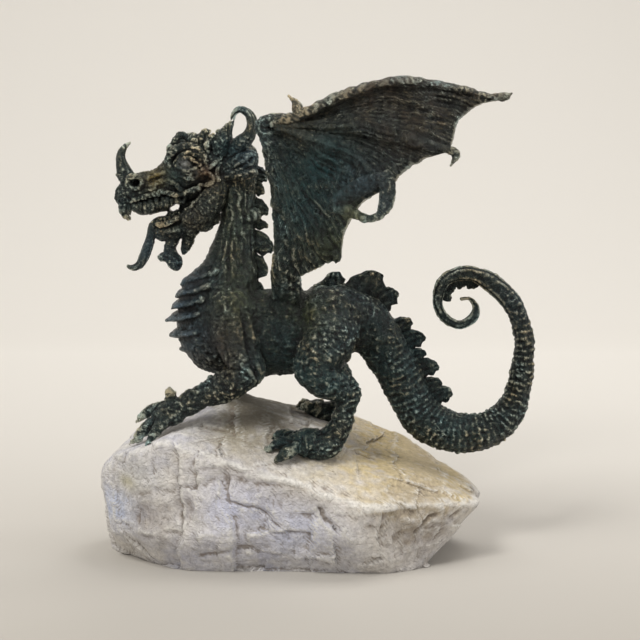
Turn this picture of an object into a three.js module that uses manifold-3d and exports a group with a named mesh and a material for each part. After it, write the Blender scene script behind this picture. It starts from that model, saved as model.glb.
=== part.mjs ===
// A cast dragon standing on a natural boulder, in millimetres, +Z up.
// The dragon faces -X and its left side faces -Y.
// The origin is the middle of the boulder's flat underside.
import * as THREE from "three";
import { mergeVertices } from "three/addons/utils/BufferGeometryUtils.js";
import Module from "manifold-3d";

const wasm = await Module();
wasm.setup();

// Driving dimensions
const CONTACT_GAP = 0.3; // between the cast soles and the stone
const NEAR = -1; // the dragon's left side
const FAR = 1; // its right side

// A station is [x, z, depth, width]: a point of the middle plane, then the half sizes
// in that plane and across it.
const NECK = [
  [-56, 478, 17, 15],
  [-61, 446, 21, 18],
  [-63, 410, 22, 20],
  [-67, 374, 27, 25],
  [-75, 338, 36, 33],
  [-85, 302, 48, 42],
  [-86, 268, 46, 42],
];
const TRUNK = [
  [-104, 276, 30, 28],
  [-84, 272, 44, 40],
  [-48, 268, 51, 46],
  [-6, 269, 49, 45],
  [30, 275, 43, 41],
  [66, 284, 38, 38],
  [96, 272, 31, 31],
  [120, 239, 27, 27],
  [139, 202, 26.5, 26],
  [158, 169, 26, 25],
  [187, 149, 24.5, 24],
  [222, 146, 23.5, 22],
  [251, 156, 20.5, 19],
  [270, 182, 17, 16.5],
  [279, 218, 14, 14],
  [282, 256, 12.5, 12],
  [268, 300, 12, 11],
  [244, 327, 11, 10.5],
  [216, 340, 10, 10],
];
// The tail ends in a round curl about this centre: turns of angle against distance from it and thickness.
const CURL_CENTRE = { x: 203, z: 303 };
const CURL = [
  [112, 35, 9.2],
  [142, 30, 8.6],
  [180, 26, 8],
  [222, 24, 7.2],
  [266, 25, 6.4],
  [306, 24, 5.8],
  [345, 21, 5],
  [385, 15, 4],
  [428, 7, 3.2],
];
const SKULL = [
  [-56, 466, 15, 14],
  [-78, 470, 26, 23],
  [-100, 469, 28, 27],
  [-121, 463, 28, 26],
  [-141, 454, 24, 22],
  [-158, 446, 19, 17.5],
  [-172, 443, 18, 16.5],
  [-185, 440, 17, 15.5],
  [-195, 434, 13, 12],
  [-201, 428, 6, 6],
];
const JAW = [
  [-80, 440, 10, 17],
  [-92, 428, 13, 19],
  [-103, 412, 14, 19],
  [-120, 402, 13, 17],
  [-139, 391, 13, 14],
  [-153, 389, 10.5, 10],
  [-160, 389, 5, 5],
];
const TONGUE = [
  [-120, 412, 5, 8],
  [-145, 408, 5, 8],
  [-160, 400, 5, 8],
  [-166, 383, 5.4, 8],
  [-173, 366, 6, 7.5],
  [-178, 353, 5.2, 6.5],
  [-185, 348, 3.6, 5],
  [-193, 350, 1.8, 2.5],
];
const NOSE_HORN = [
  [-183, 448, 9, 8],
  [-191, 456, 8.3, 7],
  [-198, 468, 7, 6],
  [-199, 481, 4.7, 4.5],
  [-195, 490, 2.6, 2.6],
  [-189, 495, 0.9, 0.9],
];
const BEARD = [
  [-138, 380, 8, 8],
  [-141, 367, 6.5, 7],
  [-137, 354, 10, 8],
  [-135, 347, 6, 5],
];
const BEARD_SIDE_LOBE = [
  [-142, 360, 4.5, 4.5],
  [-151, 359, 5.4, 5],
  [-155, 358, 2.5, 2.5],
];
const BEARD_REAR_LOBE = [
  [-124, 388, 7, 7],
  [-126, 375, 6, 5],
  [-128, 365, 1.2, 1.2],
];

// A limb station is [x, outward, z, radius], outward being the distance from the middle plane.
const FORELEG_NEAR = [
  [-70, 30, 300, 28],
  [-64, 42, 276, 26],
  [-56, 52, 252, 21],
  [-49, 58, 230, 17.5],
  [-76, 62, 213, 15.5],
  [-103, 64, 202, 13.5],
  [-124, 66, 191, 12.5],
  [-142, 68, 181, 13],
  [-152, 68, 175, 9],
];
const FORELEG_FAR = [
  [-70, 30, 300, 28],
  [-62, 42, 274, 25],
  [-52, 52, 246, 20],
  [-46, 58, 222, 16],
  [-68, 62, 202, 14.5],
  [-92, 64, 187, 12.5],
  [-110, 66, 178, 12],
  [-123, 67, 171, 12],
  [-132, 67, 167, 9],
];
const HINDLEG_NEAR = [
  [48, 24, 292, 36],
  [46, 44, 266, 31],
  [31, 58, 234, 24],
  [50, 60, 219, 20],
  [66, 60, 207, 17],
  [65, 60, 186, 13],
  [59, 60, 166, 14],
  [42, 62, 146, 18],
  [20, 63, 148, 16.5],
  [5, 63, 149, 11],
];
const HINDLEG_FAR = [
  [48, 24, 292, 36],
  [44, 44, 264, 30],
  [26, 56, 232, 23],
  [46, 58, 216, 18],
  [62, 58, 205, 15],
  [63, 57, 188, 12.5],
  [60, 56, 170, 12.5],
  [51, 57, 160, 13.5],
  [38, 58, 162, 12],
  [28, 58, 164, 8.5],
];
// Each toe starts inside the foot and ends in the tip of its claw.
const FORE_TOES_NEAR = [
  [[-146, 60, 186, 7], [-158, 57, 186, 6.5], [-167, 56, 182, 4.5], [-180, 55, 170, 0.8]],
  [[-146, 68, 180, 7], [-160, 70, 172, 6.5], [-170, 71, 162, 4.5], [-184, 72, 150, 0.8]],
  [[-144, 76, 176, 7], [-153, 82, 168, 6], [-160, 86, 158, 4.5], [-168, 90, 146, 0.8]],
];
const FORE_TOES_FAR = [
  [[-126, 60, 173, 7], [-139, 56, 171, 6], [-148, 54, 167, 4.5], [-160, 52, 158, 0.8]],
  [[-126, 68, 171, 7], [-140, 70, 167, 6], [-149, 71, 161, 4.5], [-162, 72, 151, 0.8]],
  [[-124, 76, 168, 7], [-133, 82, 162, 6], [-140, 86, 155, 4.5], [-149, 90, 144, 0.8]],
];
const HIND_TOES_NEAR = [
  [[9, 54, 149, 8], [-4, 51, 153, 7], [-13, 49, 153, 5.2], [-25, 47, 146, 0.8]],
  [[9, 64, 147, 8], [-5, 68, 149, 7.5], [-15, 71, 148, 5.4], [-29, 74, 139, 0.8]],
  [[14, 72, 145, 8], [3, 82, 144, 7], [-5, 89, 141, 5.2], [-16, 95, 132, 0.8]],
];
const HIND_TOES_FAR = [
  [[33, 50, 165, 7], [24, 47, 168, 6.5], [17, 45, 170, 4.6], [7, 43, 166, 0.8]],
  [[33, 58, 164, 7], [23, 60, 167, 6.5], [15, 61, 169, 4.6], [5, 62, 165, 0.8]],
  [[36, 66, 162, 7], [27, 74, 163, 6.5], [20, 79, 163, 4.6], [10, 84, 158, 0.8]],
];
const FORE_SPUR = [[-112, 62, 197, 5], [-104, 60, 208, 4], [-90, 58, 226, 0.8]];
const WRIST_KNOB = [[-136, 62, 194, 6], [-138, 60, 202, 5], [-139, 60, 207, 2]];
const HEAD_HORN = [
  [-74, 13, 480, 9],
  [-56, 22, 495, 7.5],
  [-43, 26, 507, 6],
  [-39, 28, 520, 5],
  [-45, 28, 531, 4],
  [-56, 27, 535, 3.2],
  [-64, 26, 531, 2.4],
  [-67, 25, 522, 0.9],
];
const EAR = [[-84, 20, 482, 8], [-78, 25, 496, 8], [-72, 28, 508, 5], [-67, 30, 521, 0.9]];
const FANG = [[-194, 6, 430, 5], [-197, 7, 416, 4.4], [-192, 7, 404, 0.9]];
const BROW = [[-112, 14, 474, 12], [-121, 22, 471, 9], [-128, 25, 467, 4]];
const NOSTRIL = [[-178, 8, 448, 9], [-183, 14, 447, 7]];
const JOWL = [[-86, 9, 452, 16], [-92, 16, 428, 17], [-104, 17, 408, 14], [-117, 13, 396, 8]];
// Teeth: the first one's [x, outward, z, radius], the step to the next, and how far the point reaches.
const UPPER_TEETH = { first: [-181, 8, 438, 6], step: [12, 2, 1.4, -0.2], tip: -23, count: 4 };
const LOWER_TEETH = { first: [-151, 7, 394, 5.4], step: [12, 2, 5, -0.1], tip: 20, count: 3 };

// A crest runs between two places of the back; a plate's height is a share of the back's depth,
// larger and smaller in turn.
const NECK_CREST = { from: 0.3, to: 5, share: 0, alternate: 0, lean: 0.1, least: 18 };
const BACK_CREST = { from: 4.6, to: 20.4, share: 0.62, alternate: 0.16, lean: 0.5, least: 7.5 };

// The wing's skin hangs between four fingers and the arm, which all spread from the wrist.
// A station is [x, outward, z, radius].
const FINGERS = [
  [
    [-25, 118, 517, 9],
    [14, 134, 527, 7],
    [60, 152, 549, 6.5],
    [118, 172, 564, 6],
    [178, 187, 557, 5],
    [224, 197, 544, 4],
  ],
  [
    [-25, 118, 517, 9],
    [36, 146, 516, 6],
    [84, 168, 516, 5.5],
    [126, 188, 505, 5],
    [156, 200, 497, 4],
    [172, 205, 491, 3.4],
  ],
  [
    [-25, 118, 517, 9],
    [14, 137, 508, 6],
    [50, 157, 495, 5],
    [76, 170, 483, 4.6],
    [96, 181, 466, 4.2],
    [109, 188, 450, 4],
  ],
  [
    [-25, 118, 517, 9],
    [-8, 126, 485, 6],
    [10, 131, 450, 5],
    [28, 130, 416, 4.4],
    [44, 125, 388, 4],
    [60, 120, 371, 3],
  ],
  [
    [-23, 119, 520, 11],
    [-14, 104, 478, 9.5],
    [-8, 84, 430, 9.5],
    [-4, 64, 386, 10.5],
    [-6, 48, 356, 12],
    [-2, 32, 326, 15],
  ],
];
const SCALLOP = [0.11, 0.1, 0.16, 0.05]; // how far the edge draws in between two fingers
const SAG = [-9, -10, -14, 8]; // how far the skin bellies out between two fingers
const SKIN = 4; // thickness of the skin
const FINGER_CLAWS = [
  [[214, 193.5, 547, 3], [228, 198, 547, 4.6], [236, 199, 551, 1.2]],
  [[164, 202, 495, 3], [178, 206, 488, 4.4], [173, 207, 476, 1]],
];
// The third finger runs on past its skin and curls back to it round a hole.
const FINGER_CURL = [
  [100, 183, 462, 3.2],
  [112, 189, 436, 4.4],
  [104, 186, 418, 3.8],
  [84, 178, 414, 3.6],
  [62, 168, 424, 4.5],
];
const SHOULDER = [[0, 12, 288, 24], [-4, 26, 318, 17], [-5, 40, 342, 12]];
const THUMB = [[14, 133, 524, 5.5], [11, 134, 533, 5], [8, 134, 542, 3.4], [1, 133, 550, 0.9]];

// The boulder is a block with rounded edges: each of its faces passes a point [x, y, z]
// and looks along a direction.
const STONE_MIDDLE = new THREE.Vector3(0, 0, 75);
const STONE_SHARPNESS = 22;
const STONE_FACES = [
  { at: [-226, 0, 70], looks: [-1, 0, -0.05] },
  { at: [-206, -20, 126], looks: [-0.7, 0.05, 0.7] },
  { at: [-190, -82, 60], looks: [-0.65, -0.75, 0] },
  { at: [-170, -60, 8], looks: [-0.45, -0.55, -0.7] },
  { at: [-20, -120, 75], looks: [-0.08, -1, 0.06] },
  { at: [-40, -95, 12], looks: [-0.05, -0.8, -0.55] },
  { at: [128, -104, 60], looks: [0.4, -0.9, -0.2] },
  { at: [206, -20, 38], looks: [0.74, -0.1, -0.66] },
  { at: [236, 0, 88], looks: [1, 0, 0.12] },
  { at: [172, 85, 70], looks: [0.7, 0.7, 0] },
  { at: [0, 116, 70], looks: [0, 1, 0] },
  { at: [-170, 85, 75], looks: [-0.62, 0.78, 0.1] },
  { at: [-100, 0, 177], looks: [-0.36, -0.03, 0.93] },
  { at: [-35, 50, 190], looks: [0.05, 0, 1] },
  { at: [40, 40, 150], looks: [0.31, -0.08, 0.94] },
  { at: [150, 20, 114], looks: [0.42, 0, 0.9] },
  { at: [20, -86, 122], looks: [0.24, -0.36, 0.9] },
  { at: [-110, 92, 142], looks: [-0.2, 0.6, 0.77] },
];

// A closed surface from rings of points, all of one length, with a point to close each end.
function skin(rings, first, last) {
  const sides = rings[0].length;
  const points = [first, ...rings.flat(), last];
  const index = [];
  for (let side = 0; side < sides; side++) {
    const next = (side + 1) % sides;
    index.push(0, 1 + next, 1 + side);
    for (let ring = 0; ring < rings.length - 1; ring++) {
      const a = 1 + ring * sides;
      const b = a + sides;
      index.push(a + side, a + next, b + side, a + next, b + next, b + side);
    }
    const end = 1 + (rings.length - 1) * sides;
    index.push(end + side, end + next, points.length - 1);
  }
  return new THREE.BufferGeometry().setFromPoints(points).setIndex(index);
}

function solidOf(geometry) {
  const bare = geometry.clone();
  bare.deleteAttribute("normal");
  bare.deleteAttribute("uv");
  const merged = mergeVertices(bare, 1e-4);
  const mesh = new wasm.Mesh({
    numProp: 3,
    vertProperties: new Float32Array(merged.attributes.position.array),
    triVerts: new Uint32Array(merged.index.array),
  });
  return new wasm.Manifold(mesh);
}

function geometryOf(solid) {
  const mesh = solid.getMesh();
  const positions = new Float32Array(mesh.numVert * 3);
  for (let i = 0; i < mesh.numVert; i++) {
    const start = i * mesh.numProp;
    positions.set(mesh.vertProperties.subarray(start, start + 3), i * 3);
  }
  return new THREE.BufferGeometry()
    .setAttribute("position", new THREE.BufferAttribute(positions, 3))
    .setIndex(new THREE.BufferAttribute(new Uint32Array(mesh.triVerts), 1));
}

// A tapering limb through its stations: a curve carries the middle, and each ring stands square to it.
function limb(stations, sides, perStation = 1) {
  const steps = Math.round((stations.length - 1) * perStation);
  const curve = new THREE.CatmullRomCurve3(
    stations.map((s) => new THREE.Vector3(s.x, s.y, s.z)),
    false,
    "catmullrom",
    0.5,
  );
  const rings = [];
  for (let step = 0; step <= steps; step++) {
    const t = step / steps;
    const place = t * (stations.length - 1);
    const from = Math.min(Math.floor(place), stations.length - 2);
    const share = place - from;
    const depth = THREE.MathUtils.lerp(stations[from].depth, stations[from + 1].depth, share);
    const width = THREE.MathUtils.lerp(stations[from].width, stations[from + 1].width, share);
    const middle = curve.getPoint(t);
    const along = curve.getTangent(t);
    const across = new THREE.Vector3(0, 1, 0).addScaledVector(along, -along.y).normalize();
    const up = new THREE.Vector3().crossVectors(along, across);
    const ring = [];
    for (let side = 0; side < sides; side++) {
      const angle = (2 * Math.PI * side) / sides;
      ring.push(
        middle
          .clone()
          .addScaledVector(across, width * Math.cos(angle))
          .addScaledVector(up, depth * Math.sin(angle)),
      );
    }
    rings.push(ring);
  }
  const lead = 0.5; // how far an end bulges past its last ring, as a share of its depth
  const first = curve.getPoint(0).addScaledVector(curve.getTangent(0), -lead * stations[0].depth);
  const ending = stations[stations.length - 1];
  const last = curve.getPoint(1).addScaledVector(curve.getTangent(1), lead * ending.depth);
  return solidOf(skin(rings, first, last));
}

const inPlane = ([x, z, depth, width]) => ({ x, y: 0, z, depth, width });
const onSide =
  (side) =>
  ([x, outward, z, radius]) => ({ x, y: side * outward, z, depth: radius, width: radius });

// The curl's turns as stations of the middle plane.
const curlStations = CURL.map(([degrees, reach, radius]) => {
  const angle = THREE.MathUtils.degToRad(degrees);
  return [
    CURL_CENTRE.x + reach * Math.cos(angle),
    CURL_CENTRE.z + reach * Math.sin(angle),
    radius,
    radius,
  ];
});
const TRUNK_AND_TAIL = [...TRUNK, ...curlStations];

// Where the back of a run of stations lies: its point, the way it runs and the way it faces.
function backAt(stations, place) {
  const curve = new THREE.CatmullRomCurve3(
    stations.map((s) => new THREE.Vector3(s[0], 0, s[1])),
    false,
    "catmullrom",
    0.5,
  );
  const t = place / (stations.length - 1);
  const from = Math.min(Math.floor(place), stations.length - 2);
  const depth = THREE.MathUtils.lerp(stations[from][2], stations[from + 1][2], place - from);
  const along = curve.getTangent(t);
  const out = new THREE.Vector3(-along.z, 0, along.x);
  return { point: curve.getPoint(t), along, out, depth };
}

// A leaf-shaped crest plate, rooted in the back and leaning towards the tail.
function crestPlate(back, height, lean) {
  const root = back.depth * 0.45;
  const half = height * 0.44;
  const outline = new THREE.Shape();
  outline.moveTo(-half, -root);
  outline.lineTo(-half * 0.8 + lean * 0.4, height * 0.75);
  outline.lineTo(half * 0.3 + lean * 0.9, height);
  outline.lineTo(half * 1.1 + lean, height * 0.72);
  outline.lineTo(half * 0.9, -root);
  const thickness = Math.max(4, height * 0.26);
  const plate = new THREE.ExtrudeGeometry(outline, { depth: thickness, bevelEnabled: false });
  plate.translate(0, 0, -thickness / 2);
  const across = new THREE.Vector3().crossVectors(back.along, back.out);
  const stand = new THREE.Matrix4().makeBasis(back.along, back.out, across);
  const foot = back.point.clone().addScaledVector(back.out, back.depth * 0.93);
  plate.applyMatrix4(stand.setPosition(foot));
  return solidOf(plate);
}

// Crest plates in a row from one place of the run to another.
function crest(stations, { from, to, share, alternate, lean, least }) {
  const plates = [];
  const footAt = (place) => {
    const back = backAt(stations, Math.min(place, stations.length - 1));
    return back.point.addScaledVector(back.out, back.depth);
  };
  let place = from;
  while (place < to) {
    const back = backAt(stations, place);
    const turn = plates.length % 2 ? 1 + alternate : 1 - alternate;
    const height = Math.max(least, back.depth * share) * turn;
    plates.push(crestPlate(back, height, height * lean));
    const step = 0.05;
    const pace = footAt(place + step).distanceTo(footAt(place)) / step;
    place += (height * 0.9 + 4) / pace;
  }
  return plates;
}

// Overlapping plates down the front of the neck and over the breast.
function breastPlates() {
  return Array.from({ length: 9 }, (_, i) => {
    const back = backAt(NECK, 2.2 + i * 0.42);
    const forward = back.out.clone().negate().addScaledVector(back.along, -0.2);
    const reach = back.depth * (0.88 + 0.025 * i) + 4;
    const stations = [0.1, 0.65, 1].map((share, row) => ({
      ...back.point.clone().addScaledVector(forward, reach * share),
      depth: [10, 8.5, 2.5][row],
      width: back.depth * [0.75, 0.6, 0.22][row],
    }));
    return limb(stations, 6);
  });
}

// The wing's middle sheet: u counts the fingers from the leading edge to the arm,
// and v runs from the wrist to the edge.
function wingPoint(side, u, v) {
  const panel = Math.min(Math.floor(u), SCALLOP.length - 1);
  const share = u - panel;
  const swell = 4 * share * (1 - share);
  const reach = v * (1 - SCALLOP[panel] * swell);
  const [from, to] = [FINGERS[panel], FINGERS[panel + 1]].map((finger) => {
    const points = finger.map(([x, outward, z]) => new THREE.Vector3(x, side * outward, z));
    return new THREE.CatmullRomCurve3(points).getPoint(reach);
  });
  const belly = side * SAG[panel] * swell * Math.sin(Math.PI * v * 0.8);
  return from.lerp(to, share).add(new THREE.Vector3(0, belly, 0));
}

// Half the thickness at a column: the finger's radius on a finger, half the skin's elsewhere.
function wingHalf(u, v) {
  const finger = FINGERS[Math.round(u)];
  if (Math.abs(u - Math.round(u)) > 0.01 || u === SCALLOP.length) return SKIN / 2;
  const place = v * (finger.length - 1);
  const from = Math.min(Math.floor(place), finger.length - 2);
  return THREE.MathUtils.lerp(finger[from][3], finger[from + 1][3], place - from);
}

// The skin with its fingers: two sheets, joined all round by a rim.
function membrane(side) {
  const shares = [0, 0.12, 0.5, 0.88];
  const inner = SCALLOP.flatMap((_, panel) => shares.map((share) => panel + share));
  const columns = [...inner, SCALLOP.length];
  const rows = [0.08, 0.26, 0.45, 0.64, 0.82, 1];
  const step = 0.02;
  const sheets = [-1, 1].map((face) =>
    columns.map((u) =>
      rows.map((v) => {
        const a = wingPoint(side, Math.max(u - step, 0), v);
        const b = wingPoint(side, Math.min(u + step, SCALLOP.length), v);
        const c = wingPoint(side, u, v - step);
        const d = wingPoint(side, u, Math.min(v + step, 1));
        const normal = b.sub(a).cross(d.sub(c)).normalize();
        return wingPoint(side, u, v).addScaledVector(normal, side * face * wingHalf(u, v));
      }),
    ),
  );
  const lead = rows.map((v) => {
    const edge = wingPoint(side, 0, v);
    const outwards = edge.clone().sub(wingPoint(side, 0.1, v)).normalize();
    return edge.addScaledVector(outwards, wingHalf(0, v));
  });
  const width = rows.length;
  const offset = columns.length * width;
  const at = (sheet, column, row) => sheet * offset + column * width + row;
  const index = [];
  const quad = (a, b, c, d) => index.push(a, b, c, a, c, d);
  for (let i = 0; i < columns.length - 1; i++)
    for (let j = 0; j < width - 1; j++) {
      quad(at(0, i, j), at(0, i, j + 1), at(0, i + 1, j + 1), at(0, i + 1, j));
      quad(at(1, i, j), at(1, i + 1, j), at(1, i + 1, j + 1), at(1, i, j + 1));
    }
  for (let i = 0; i < columns.length - 1; i++) {
    quad(at(0, i, 0), at(0, i + 1, 0), at(1, i + 1, 0), at(1, i, 0));
    quad(at(0, i, width - 1), at(1, i, width - 1), at(1, i + 1, width - 1), at(0, i + 1, width - 1));
  }
  const last = columns.length - 1;
  const front = 2 * offset;
  for (let j = 0; j < width - 1; j++) {
    quad(at(0, 0, j), front + j, front + j + 1, at(0, 0, j + 1));
    quad(at(1, 0, j), at(1, 0, j + 1), front + j + 1, front + j);
    quad(at(0, last, j), at(0, last, j + 1), at(1, last, j + 1), at(1, last, j));
  }
  index.push(at(0, 0, 0), at(1, 0, 0), front);
  index.push(at(0, 0, width - 1), front + width - 1, at(1, 0, width - 1));
  if (side === NEAR) {
    // mirrored, so each triangle is turned over
    for (let i = 0; i < index.length; i += 3) [index[i], index[i + 1]] = [index[i + 1], index[i]];
  }
  const points = [...sheets.flat(2), ...lead];
  return solidOf(new THREE.BufferGeometry().setFromPoints(points).setIndex(index));
}

function wing(side) {
  const arm = FINGERS[FINGERS.length - 1];
  return [
    membrane(side),
    limb(arm.map(onSide(side)), 7),
    limb(SHOULDER.map(onSide(side)), 7),
    limb(THUMB.map(onSide(side)), 5),
    limb(FINGER_CURL.map(onSide(side)), 5),
    ...FINGER_CLAWS.map((claw) => limb(claw.map(onSide(side)), 5)),
  ];
}

function leg(side, stations, toes) {
  return [
    limb(stations.map(onSide(side)), 8, 1.15),
    ...toes.map((toe) => limb(toe.map(onSide(side)), 5)),
  ];
}

// A row of pointed teeth, from the front of the jaw back.
function teethRow(side, { first, step, tip, count }) {
  return Array.from({ length: count }, (_, i) => {
    const [x, outward, z, radius] = first.map((value, axis) => value + i * step[axis]);
    const root = { x, y: side * outward, z, depth: radius, width: radius };
    return limb([root, { ...root, z: z + tip, depth: 0.9, width: 0.9 }], 4);
  });
}

function head() {
  const paired = [NEAR, FAR].flatMap((side) => [
    ...[HEAD_HORN, EAR, FANG].map((stations) => limb(stations.map(onSide(side)), 5)),
    ...[BROW, NOSTRIL, JOWL].map((stations) => limb(stations.map(onSide(side)), 6)),
    ...teethRow(side, UPPER_TEETH),
    ...teethRow(side, LOWER_TEETH),
  ]);
  const knobs = Array.from({ length: 4 }, (_, i) => {
    const x = -131 + 13 * i;
    return limb([[x, 482, 8, 10], [x - 1, 500 + 3 * (i % 2), 4, 5]].map(inPlane), 6);
  });
  return [
    limb(SKULL.map(inPlane), 9),
    limb(JAW.map(inPlane), 7),
    limb(TONGUE.map(inPlane), 6),
    limb(NOSE_HORN.map(inPlane), 6),
    limb(BEARD.map(inPlane), 6),
    limb(BEARD_SIDE_LOBE.map(inPlane), 6),
    limb(BEARD_REAR_LOBE.map(inPlane), 6),
    ...paired,
    ...knobs,
  ];
}

// The boulder as a solid, its surface moved out by the swell, flat where it stands.
function boulder(swell) {
  const faces = STONE_FACES.map(({ at, looks }) => {
    const normal = new THREE.Vector3(...looks).normalize();
    return { normal, distance: normal.dot(new THREE.Vector3(...at).sub(STONE_MIDDLE)) };
  });
  const block = new THREE.IcosahedronGeometry(1, 6);
  const positions = block.attributes.position;
  const ray = new THREE.Vector3();
  for (let i = 0; i < positions.count; i++) {
    ray.fromBufferAttribute(positions, i).normalize();
    let sum = 0;
    for (const { normal, distance } of faces) {
      sum += (Math.max(0, ray.dot(normal)) / distance) ** STONE_SHARPNESS;
    }
    ray.multiplyScalar(sum ** (-1 / STONE_SHARPNESS) + swell).add(STONE_MIDDLE);
    positions.setXYZ(i, ray.x, ray.y, ray.z);
  }
  const below = new THREE.BoxGeometry(800, 800, 400).translate(0, 0, -200);
  return solidOf(block).subtract(solidOf(below));
}

const cast = [
  limb(NECK.map(inPlane), 9, 1.2),
  limb(TRUNK_AND_TAIL.map(inPlane), 9, 1.3),
  ...breastPlates(),
  ...crest(NECK, NECK_CREST),
  ...crest(TRUNK_AND_TAIL, BACK_CREST),
  ...head(),
  ...leg(NEAR, FORELEG_NEAR, [...FORE_TOES_NEAR, FORE_SPUR, WRIST_KNOB]),
  ...leg(FAR, FORELEG_FAR, FORE_TOES_FAR),
  ...leg(NEAR, HINDLEG_NEAR, HIND_TOES_NEAR),
  ...leg(FAR, HINDLEG_FAR, HIND_TOES_FAR),
  ...wing(NEAR),
  ...wing(FAR),
];
const dragonSolid = cast.reduce((whole, piece) => whole.add(piece)).subtract(boulder(CONTACT_GAP));

const patina = new THREE.MeshStandardMaterial({ color: 0x2b3331, roughness: 0.5, metalness: 0.7 });
const limestone = new THREE.MeshStandardMaterial({ color: 0xb9b1a6, roughness: 0.95, metalness: 0 });

const dragon = new THREE.Mesh(geometryOf(dragonSolid), patina);
dragon.name = "dragon";
const stone = new THREE.Mesh(geometryOf(boulder(0)), limestone);
stone.name = "boulder";

const statue = new THREE.Group();
statue.add(dragon, stone);

export default statue;
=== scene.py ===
# %% [markdown]
# # A cast dragon on a natural stone
# The real object is one hollow bronze casting, dark with patina and rubbed bright on its raised details,
# which stands on a pale boulder. The CAD frame gives the true size and place of both. This file gives them
# the surface that a founder's wax and a quarry give: scales, wrinkles, folds of skin, chipped stone.

# %% Load the frame
import math

import bpy
import numpy as np
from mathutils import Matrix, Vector


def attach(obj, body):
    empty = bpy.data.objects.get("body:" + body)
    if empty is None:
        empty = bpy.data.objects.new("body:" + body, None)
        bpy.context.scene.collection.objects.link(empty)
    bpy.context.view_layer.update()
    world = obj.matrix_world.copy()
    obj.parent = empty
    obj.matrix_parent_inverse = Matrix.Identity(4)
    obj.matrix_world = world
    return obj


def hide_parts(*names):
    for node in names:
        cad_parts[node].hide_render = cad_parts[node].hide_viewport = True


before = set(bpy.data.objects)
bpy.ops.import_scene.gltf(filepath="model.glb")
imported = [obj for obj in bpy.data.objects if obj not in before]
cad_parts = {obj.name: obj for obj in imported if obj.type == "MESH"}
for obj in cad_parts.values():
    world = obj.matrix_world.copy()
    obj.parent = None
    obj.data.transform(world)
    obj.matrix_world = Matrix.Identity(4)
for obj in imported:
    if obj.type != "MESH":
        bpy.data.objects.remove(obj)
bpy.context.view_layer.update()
MM = 0.001


def shown(name, data):
    """An object with this data, in the scene."""
    made = bpy.data.objects.new(name, data)
    bpy.context.scene.collection.objects.link(made)
    return made


# %% [markdown]
# ## Camera
# The picture looks slightly down on the statue from its left side. A long lens from 1.8 m keeps the wings
# from spreading, and 1.2 mm of the object falls on one pixel of a 640 pixel frame at the object's middle.

# %% Camera
TARGET = Vector((0.036, 0.0, 0.284))
CAMERA_DISTANCE = 1.8
CAMERA_TILT = math.radians(8)
PIXELS = 640
METRES_PER_PIXEL = 0.0012
SENSOR_MM = 36.0

camera_data = bpy.data.cameras.new("camera")
camera_data.sensor_width = SENSOR_MM
camera_data.lens = SENSOR_MM * CAMERA_DISTANCE / (PIXELS * METRES_PER_PIXEL)
camera = shown("camera", camera_data)
looking = Vector((0, math.cos(CAMERA_TILT), -math.sin(CAMERA_TILT)))
camera.location = TARGET - looking * CAMERA_DISTANCE
camera.rotation_euler = (math.pi / 2 - CAMERA_TILT, 0, 0)
bpy.context.scene.camera = camera
print("lens", round(camera_data.lens, 1), "mm")

# %% [markdown]
# ## Clay
# A dragon has hundreds of small swellings that run into each other, and joining meshes for each of them
# leaves creases. So the casting is modelled as a sculptor works in clay: a grid of points holds the distance
# to the surface, each new lump is blended into it with a soft minimum, and one skin is drawn over the result.

# %% A flowing run of stations
FAR_AWAY = 60.0
# Cell sizes of the clays' grids, in mm.
BODY_STEP, TAIL_STEP, HEAD_STEP, BONE_STEP = 1.55, 1.4, 1.04, 1.4


def flowing(stations, fine=6):
    """Stations on a smooth curve through the given ones, `fine` to each stretch."""
    points = np.array(stations, float)
    padded = np.vstack([2 * points[0] - points[1], points, 2 * points[-1] - points[-2]])
    t = np.linspace(0, 1, fine, endpoint=False)[:, None]
    runs = []
    for a, b, c, d in zip(padded, padded[1:], padded[2:], padded[3:]):
        runs.append(b + 0.5 * t * ((c - a) + t * ((2 * a - 5 * b + 4 * c - d) + t * (3 * b - a - 3 * c + d))))
    run = np.vstack([*runs, points[-1:]])
    run[:, 3:] = np.maximum(run[:, 3:], 0.4)
    return run


def in_plane(stations):
    """[x, z, depth, width] in the middle plane, as [x, y, z, depth, width]."""
    return [[x, 0, z, depth, width] for x, z, depth, width in stations]


def on_side(side, stations):
    """[x, outward, z, radius] on one side of the middle plane, as [x, y, z, depth, width]."""
    return [[x, side * outward, z, radius, radius] for x, outward, z, radius in stations]


# %% [markdown]
# A limb is a run of oval sections. Adding one takes the nearer of the two distances, rounded where they meet,
# and cutting one takes the farther. Both touch only the window of the grid that the limb reaches.

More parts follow.
